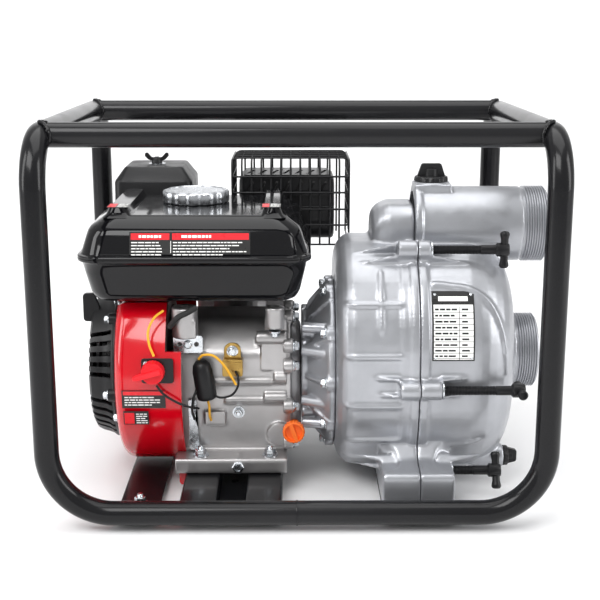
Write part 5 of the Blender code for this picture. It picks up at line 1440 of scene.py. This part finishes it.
def clamp_holes():
    return [rod((90, y, z), (200, y, z), 5.5, 24) for _, _, y, z in clamp_places()]


def notches(x):
    return [rod((x, PUMP_Y + side * 133, 43), (x, PUMP_Y + side * 133, 90), 20, 36) for side in (-1, 1)]


def arch_ring(x, inset, wall):
    """A section of the duct that carries the water up and over into the outlet."""
    low = (PORT_Y - ARCH_HALF + wall + inset * 0.4, 245 - wall)
    high = (PORT_Y + ARCH_HALF - wall - inset * 0.4, 316 - wall - inset * 0.6)
    return ring_at(rounded(low, high, 24 - wall, 8), X, x)


def make_casing():
    """The fixed half of the pump, with the duct that carries the water up to the outlet."""
    face = SPLIT_LEFT
    sizes = [(44, 22), (46.4, 14), (50, 8), (55, 3), (62, 0), (114, 0), (115, -1.8), (124, -1.8)]
    sizes += [(125, -FLANGE), (face, -FLANGE)]
    rings = [pump_ring(*size) for size in sizes]
    parts = [skin(rings), foot_prism(FOOT_LEFT_X, face)]
    duct = [(86, 26), (88.4, 17), (94, 8), (100, 3), (106, 0), (face, 0)]
    parts.append(skin([arch_ring(x, inset, 0) for x, inset in duct]))
    for z in (220, 166, 110, 67, 40):
        parts.append(front_bead([(52, z), (84, z), (118, z)], 3.4, 0.6))
        parts.append(rear_bead([(52, z), (84, z), (118, z)], 3.4))
    parts.append(front_bead([(92, 253), (92, 225), (92, 190)], 3, 0.6))
    parts += clamp_bosses(0, face)
    body = cast_together(joined(parts), 1.8, 3)
    hollow = [arch_ring(x, inset, PUMP_WALL) for x, inset in ((92, 26), (104, 4), (face + 20, 0))]
    chamber = skin([pump_ring(50, 28), pump_ring(64, PUMP_WALL), pump_ring(face + 20, PUMP_WALL)])
    bore = crank_bar(30, 60, 24, 40)
    trim = block((face, -220, -20), (face + 30, 200, 400))
    cuts = [skin(hollow), chamber, bore, trim, *clamp_holes()]
    piece("pump_casing_casting", carved(body, cut=cuts), SILVER, ["pump_casing"], angle=50)


def port_thread(start, end, z):
    """A pipe end with a thread for the hose coupling."""
    profile = [(PORT_BORE, start), (PORT_R - 2.4, start), (PORT_R - 2.4, start + 3)]
    pitch = 2.8
    turns = int((end - start - 4) / pitch)
    for k in range(turns):
        x = start + 3 + k * pitch
        profile += [(PORT_R - 2, x + 0.3), (PORT_R, x + 1.1), (PORT_R, x + 1.6), (PORT_R - 2, x + 2.4)]
    profile += [
        (PORT_R - 2.2, end - 0.8), (PORT_R - 3, end), (PORT_BORE + 0.4, end),
        (PORT_BORE, end - 0.6),
    ]
    return turned(profile, (0, PORT_Y, z), AXES[X], 96)


def make_pump_cover():
    """The half of the pump that comes off for cleaning, with its ports, priming boss and drain boss."""
    face = SPLIT_RIGHT
    sizes = [(face, -FLANGE), (143, -FLANGE), (144.5, -0.6), (148, 0), (192, 0), (201, 1.5), (210, 4)]
    sizes += [(219, 8.2), (228, 14), (234, 20.5), (239, 30), (242.4, 39), (FACE_X, 48)]
    rings = [pump_ring(*size) for size in sizes]
    parts = [skin(rings), foot_prism(face, FOOT_RIGHT_X)]
    parts.append(rod((200, DRAIN_Y, DRAIN_Z), (240, DRAIN_Y, DRAIN_Z), 13, 32))
    parts += clamp_bosses(face, FACE_X)
    parts.append(
        front_bead(
            [(146, 240), (170, 238), (192, 234), (210, 220), (222, 196), (228, 168), (230, 140)],
            3.6, 0.4,
        )
    )
    parts.append(front_bead([(150, 60), (180, 60), (206, 66)], 3, 0.6))
    parts.append(rear_bead([(146, 236), (170, 236), (196, 232)], 3.4))
    parts.append(rear_bead([(150, 60), (180, 60), (206, 66)], 3))
    outer = PORT_R - 0.5
    parts.append(rod((face + 0.5, PORT_Y, OUTLET_Z), (259, PORT_Y, OUTLET_Z), outer, 72))
    parts.append(
        turned(
            [(0, 222), (50, 222), (48, 236), (46, 243), (outer, 247), (outer, 257), (0, 257)],
            (0, PORT_Y, INLET_Z), AXES[X], 72,
        )
    )
    parts.append(rod((face + 1, PORT_Y, OUTLET_Z), (face + 9, PORT_Y, OUTLET_Z), PORT_R + 2.6, 72))
    parts.append(block((144, -56, 250), (206, 26, 272)))
    parts.append(block((136, -37, 300), (178, 7, 338)))
    parts.append(rod((PRIMING_X, PORT_Y, 320), (PRIMING_X, PORT_Y, 340), 20.5, 40))
    for y in (-54, 24):
        parts.append(block((143, y - 3, 240), (236, y + 3, 272)))
    body = cast_together(joined(parts), 1.8, 3)
    inside = [
        pump_ring(face - 20, PUMP_WALL), pump_ring(190, PUMP_WALL), pump_ring(208, PUMP_WALL + 4),
        pump_ring(222, PUMP_WALL + 14),
    ]
    cuts = [
        skin(inside),
        rod((100, PORT_Y, OUTLET_Z), (300, PORT_Y, OUTLET_Z), PORT_BORE, 72),
        rod((214, PORT_Y, INLET_Z), (300, PORT_Y, INLET_Z), PORT_BORE, 72),
        block((face - 30, -220, -20), (face, 200, 400)),
        *clamp_holes(),
    ]
    cuts.append(rod((PRIMING_X, PORT_Y, OUTLET_Z), (PRIMING_X, PORT_Y, 360), PRIME_STEM_R, 36))
    cuts.append(rod((190, DRAIN_Y, DRAIN_Z), (260, DRAIN_Y, DRAIN_Z), DRAIN_STEM_R, 32))
    shell = carved(body, cut=cuts)
    threads = [port_thread(258.5, 288, OUTLET_Z), port_thread(256.5, 283, INLET_Z)]
    piece("pump_cover_casting", joined([shell, *threads]), SILVER, ["pump_cover"], angle=50)
    studs = []
    for y, z in ((-54, 262), (24, 262)):
        studs += bolt((206, y, z), AXES[X], 9, 5, 7)
    piece("pump_cover_bolts", joined(studs), ZINC)


def plate_on_pump(left, low, right, high, near, far, index):
    """A slab that follows the pump's front surface, between two distances from it."""
    steps = max(int((high - low) / 3), 1)
    rings = []
    for k in range(steps + 1):
        z = low + (high - low) * k / steps
        rings.append(
            [
                (x, front_y(x, z, out), z) for x, out in (
                    (left, near), (right, near), (right, far), (left, far),
                )
            ]
        )
    return numbered(skin(rings), index)


def make_nameplate():
    """A generic data plate: a dark border and header, and light rows in a table. It carries no words."""
    left, right, low, high = 146.5, 192.5, 162, 234
    parts = [plate_on_pump(left, low, right, high, -0.6, 0.7, 0)]
    parts.append(plate_on_pump(left + 1.6, low + 1.6, right - 1.6, high - 13, 0.5, 0.85, 1))
    parts.append(plate_on_pump(left + 7, high - 9.5, right - 7, high - 5, 0.5, 0.9, 1))
    draw = random.Random(3)
    top = high - 14.5
    for k in range(9):
        z = top - (k + 1) * 6.1
        parts.append(plate_on_pump(left + 1.6, z, right - 1.6, z + 0.5, 0.7, 0.95, 0))
        x = left + 3
        while x < left + 24:
            word = draw.uniform(3, 8)
            parts.append(plate_on_pump(x, z + 2, min(x + word, left + 27), z + 3.9, 0.7, 0.95, 0))
            x += word + 1.1
        word = draw.uniform(4, 9)
        parts.append(plate_on_pump(right - 14, z + 2, right - 14 + word, z + 3.9, 0.7, 0.95, 0))
    parts.append(plate_on_pump(left + 29, low + 1.6, left + 29.6, top, 0.7, 0.95, 0))
    piece("pump_data_plate", joined(parts), LABEL_BLACK, more=(LABEL_WHITE,))
    pins = []
    for x in (left + 3.4, right - 3.4):
        for z in (low + 3.4, high - 3.4):
            y = front_y(x, z, 0.6)
            pins.append(
                turned([(0, -1), (1.6, -1), (1.6, 0.2), (1, 0.8), (0, 0.9)], (x, y, z), (0, -1, 0), 16)
            )
    piece("pump_data_plate_pins", joined(pins), ZINC)


def make_adaptor():
    """The cone between the engine and the pump, with its bolt posts, webs and ears."""
    cone = [(0, 5.4), (62, 5.4), (62, 12.3), (66, 15), (94, 34), (98, 37.7), (98, 43.6), (0, 43.6)]
    parts = [about_crank(cone, 0, AXES[X], 96)]
    for k in range(12):
        turn = 2 * math.pi * k / 12
        spoke = Vector((0, math.cos(turn), math.sin(turn)))
        side = Vector((0, -math.sin(turn), math.cos(turn)))
        ring = [(8, 58), (14, 74), (36, 100), (43.6, 100), (43.6, 60)]
        near = [CRANK + AXES[X] * x + spoke * r + side * 2.2 for x, r in ring]
        far = [CRANK + AXES[X] * x + spoke * r - side * 2.2 for x, r in ring]
        parts.append(skin([near, far]))
    for turn in (45, 135, 225, 315):
        y, z = round_crank(68, turn)
        parts.append(rod((5.4, y, z), (40, y, z), 9, 28))
    for z in (183, 156, 97, 70):
        y = CRANK.y - math.sqrt(max(94**2 - (z - CRANK.z) ** 2, 0)) + 4
        parts.append(rod((6, -86, z), (43.6, y, z), 6.2, 20))
    bolts = []
    for turn in (35, 75, 105, 145, 180, 215, 250, 290, 325):
        y, z = round_crank(92, turn)
        parts.append(rod((33, y, z), (43.6, y, z), 9.4, 24))
        bolts += bolt((33.2, y, z), -AXES[X], 9, 5, 7)
    body = cast_together(joined(parts), 1.5, 3)
    cuts = [crank_bar(-5, 60, 22.3, 48)]
    cuts.append(block((-6, CRANK.y - 120, CRANK.z - 120), (5.4, CRANK.y + 120, CRANK.z + 120)))
    cuts.append(block((43.8, -200, -20), (60, 200, 300)))
    piece("adaptor_casting", carved(body, cut=cuts), SILVER, ["pump_adaptor"], angle=50)
    piece("adaptor_bolts", joined(bolts), ZINC)


def make_clamps():
    for name, body, y, z in clamp_places():
        angle, boss_end = CLAMPS[name]
        end = cad(name)[1].x - 5.5
        turn = math.radians(angle)
        along = Vector((0, math.sin(turn), math.cos(turn)))
        spot = Vector((end, y, z))
        r = CLAMP_ROD_R
        profile = [(0, CLAMP_START), (r, CLAMP_START), (r, boss_end)]
        pitch = 1.6
        x = boss_end + 0.4
        while x < end - 26:
            profile += [(r - 0.7, x), (r, x + pitch / 2)]
            x += pitch
        profile += [
            (r, end - 24), (r, end - 10), (7.6, end - 8), (7.8, end + 3), (6.6, end + 5),
            (0, end + 5),
        ]
        stem = turned(profile, (0, y, z), AXES[X], 28)
        knob = [(20.6, 2.4), (20, 4.2), (18, 5.4), (16, 5.2), (12, 4.3)]
        ends = [(-offset, r) for offset, r in knob] + knob[::-1]
        bar = [circle(spot + along * offset, along, r, 24) for offset, r in ends]
        washer = turned([(5.3, 0.1), (9.5, 0.1), (9.5, 2), (5.3, 2)], (boss_end, y, z), AXES[X], 32)
        piece(f"{name}_forged", joined([stem, skin(bar)]), HOT, [name], body, angle=40)
        piece(f"{name}_washer", washer, ZINC, bevel=0.2)


def make_plugs():
    for node, body, direction, wing, stem_r in (
        ("priming_plug", "prime_plug", AXES[Z], AXES[X], PRIME_STEM_R - 0.1),
        ("drain_plug", "water_drain", AXES[X], AXES[Z], DRAIN_STEM_R - 0.1),
    ):
        low, high = cad(node)
        axis = X if direction.x else Z
        base = 240.3 if axis == X else 340.3
        spot = joint_place(body)
        spot[axis] = base
        flange = (high.y - low.y) / 2
        height = high[axis] - base
        stem = base - low[axis]
        rings = []
        for level, share in (
            (-stem, 0), (0, 0), (0.05, 1), (1, 1), (4.6, 0.97), (5.4, 0.9), (5.6, 0.5), (5.6, 0.02),
        ):
            ring = []
            first, second = across(direction)
            for k in range(96):
                turn = 2 * math.pi * k / 96
                r = max(flange * share, 0.01)
                if not share:
                    r = stem_r
                elif share > 0.94 and level > 0.5:
                    r *= 1 - 0.04 * (0.5 - 0.5 * math.cos(16 * turn))
                ring.append(
                    spot + direction * level + (first * math.cos(turn) + second * math.sin(turn)) * r
                )
            rings.append(ring)
        side = direction.cross(wing).normalized()
        reach = flange * 0.86
        outline = filleted(
            [(-reach, 3), (reach, 3), (reach * 0.66, height), (-reach * 0.66, height)],
            [0, 0, 3, 3], 5,
        )
        slabs = []
        for offset in (-2.8, 2.8):
            slabs.append([spot + direction * b + wing * a + side * offset for a, b in outline])
        hub = turned(
            [(0, 3), (flange * 0.42, 3), (flange * 0.36, height * 0.7), (0, height * 0.72)], spot,
            direction, 32,
        )
        piece(
            f"{node}_moulding", joined([skin(rings), skin(slabs), hub]), PLASTIC, [node], body,
            bevel=0.5, angle=45,
        )


# ---------------------------------------------------------------- carried-over CAD nodes


FINISHES = (
    BLACK, TANK, RED, HOT, SILVER, CAST, STEEL, ZINC, GOLD, CHROME, PLASTIC, RUBBER, ORANGE, RED_PLASTIC,
    YELLOW, FOAM,
)
FINISH_OF_SLOT = {finish.slot: finish for finish in FINISHES}


def finish_carried_nodes():
    """The internals and other nodes that no piece stands for keep their CAD shape, with eased edges."""
    for part in frame["record"]["subparts"]:
        finish = FINISH_OF_SLOT[part["material_slot"]]
        obj = frame["nodes"][part["node"]]
        obj.data.materials.clear()
        obj.data.materials.append(finish.material)
        eased(obj, 0.5, 2, 40)


# ---------------------------------------------------------------- studio


def make_stage():
    """A plain pale floor that runs back into a pale backdrop."""
    f = Finish("studio_floor", None, (0.86, 0.86, 0.865), 0.6)
    f.bump(f.noise(60, 3), 0.04, 0.4)
    f.done(f.shaded(2.5, 0.015), f.noise(9, 4), 0.08)
    floor = bpy.data.meshes.new("floor")
    grid = bmesh.new()
    rows_of_points = []
    for z, y in ((0, -4), (0, 2.6), (0.06, 3.1), (0.3, 3.6), (0.9, 3.95), (4, 4.1)):
        rows_of_points.append([grid.verts.new((x, y, z)) for x in (-6, -2, 2, 6)])
    for one, other in zip(rows_of_points, rows_of_points[1:]):
        for i in range(3):
            grid.faces.new((one[i], one[i + 1], other[i + 1], other[i]))
    grid.to_mesh(floor)
    grid.free()
    floor.shade_smooth()
    floor.materials.append(f.material)
    obj = bpy.data.objects.new("floor", floor)
    bpy.context.scene.collection.objects.link(obj)


def lamp(name, spot, aim, size, power):
    data = bpy.data.lights.new(name, "AREA")
    data.shape = "RECTANGLE"
    data.size, data.size_y = size
    data.energy = power
    obj = bpy.data.objects.new(name, data)
    obj.location = spot
    obj.rotation_mode = "QUATERNION"
    obj.rotation_quaternion = (Vector(aim) - Vector(spot)).to_track_quat("-Z", "Y")
    bpy.context.scene.collection.objects.link(obj)


def make_lights():
    aim = (0, 0, 0.2)
    lamp("key", (-0.9, -1.5, 2.1), aim, (1.6, 1.1), 38)
    lamp("overhead", (0.1, 0.1, 2.4), aim, (2.4, 1.8), 32)
    lamp("right_strip", (2.0, -0.8, 1.0), aim, (0.7, 1.7), 22)
    lamp("left_strip", (-2.0, -0.6, 1.0), aim, (0.6, 1.7), 18)
    lamp("backdrop", (0, 1.9, 2.6), (0, 3.9, 0.9), (4, 0.6), 60)
    world = bpy.data.worlds.new("studio")
    world.use_nodes = True
    world.node_tree.nodes["Background"].inputs["Color"].default_value = (1, 1, 1, 1)
    world.node_tree.nodes["Background"].inputs["Strength"].default_value = 0.55
    bpy.context.scene.world = world
    bpy.context.scene.view_settings.view_transform = "Standard"


def make_camera():
    """The photograph's place: in front, near the middle, looking a little down."""
    low, high = cad_box
    size = high - low
    data = bpy.data.cameras.new("camera")
    data.lens = 69.8
    data.sensor_width = 36
    data.dof.use_dof = False
    obj = bpy.data.objects.new("camera", data)
    middle_of = (low + high) / 2
    obj.location = middle_of + Vector((-0.017 * size.x, -3.021 * size.y, 0.734 * size.z))
    aim = middle_of + Vector((-0.005 * size.x, -0.2 * size.y, 0.021 * size.z))
    obj.rotation_mode = "QUATERNION"
    obj.rotation_quaternion = (aim - obj.location).to_track_quat("-Z", "Y")
    bpy.context.scene.collection.objects.link(obj)
    bpy.context.scene.camera = obj


make_frame()
make_base()
make_feet()
make_tank()
make_cap()
make_tank_labels()
make_air_filter()
make_muffler()
make_guard()
make_carburettor()
make_levers()
make_fan_cover()
make_starter()
make_handle()
make_switch()
make_crankcase()
make_side_cover()
make_dipstick()
make_wiring()
make_governor()
make_casing()
make_pump_cover()
make_nameplate()
make_adaptor()
make_clamps()
make_plugs()
make_stage()
make_lights()
make_camera()
finish_carried_nodes()
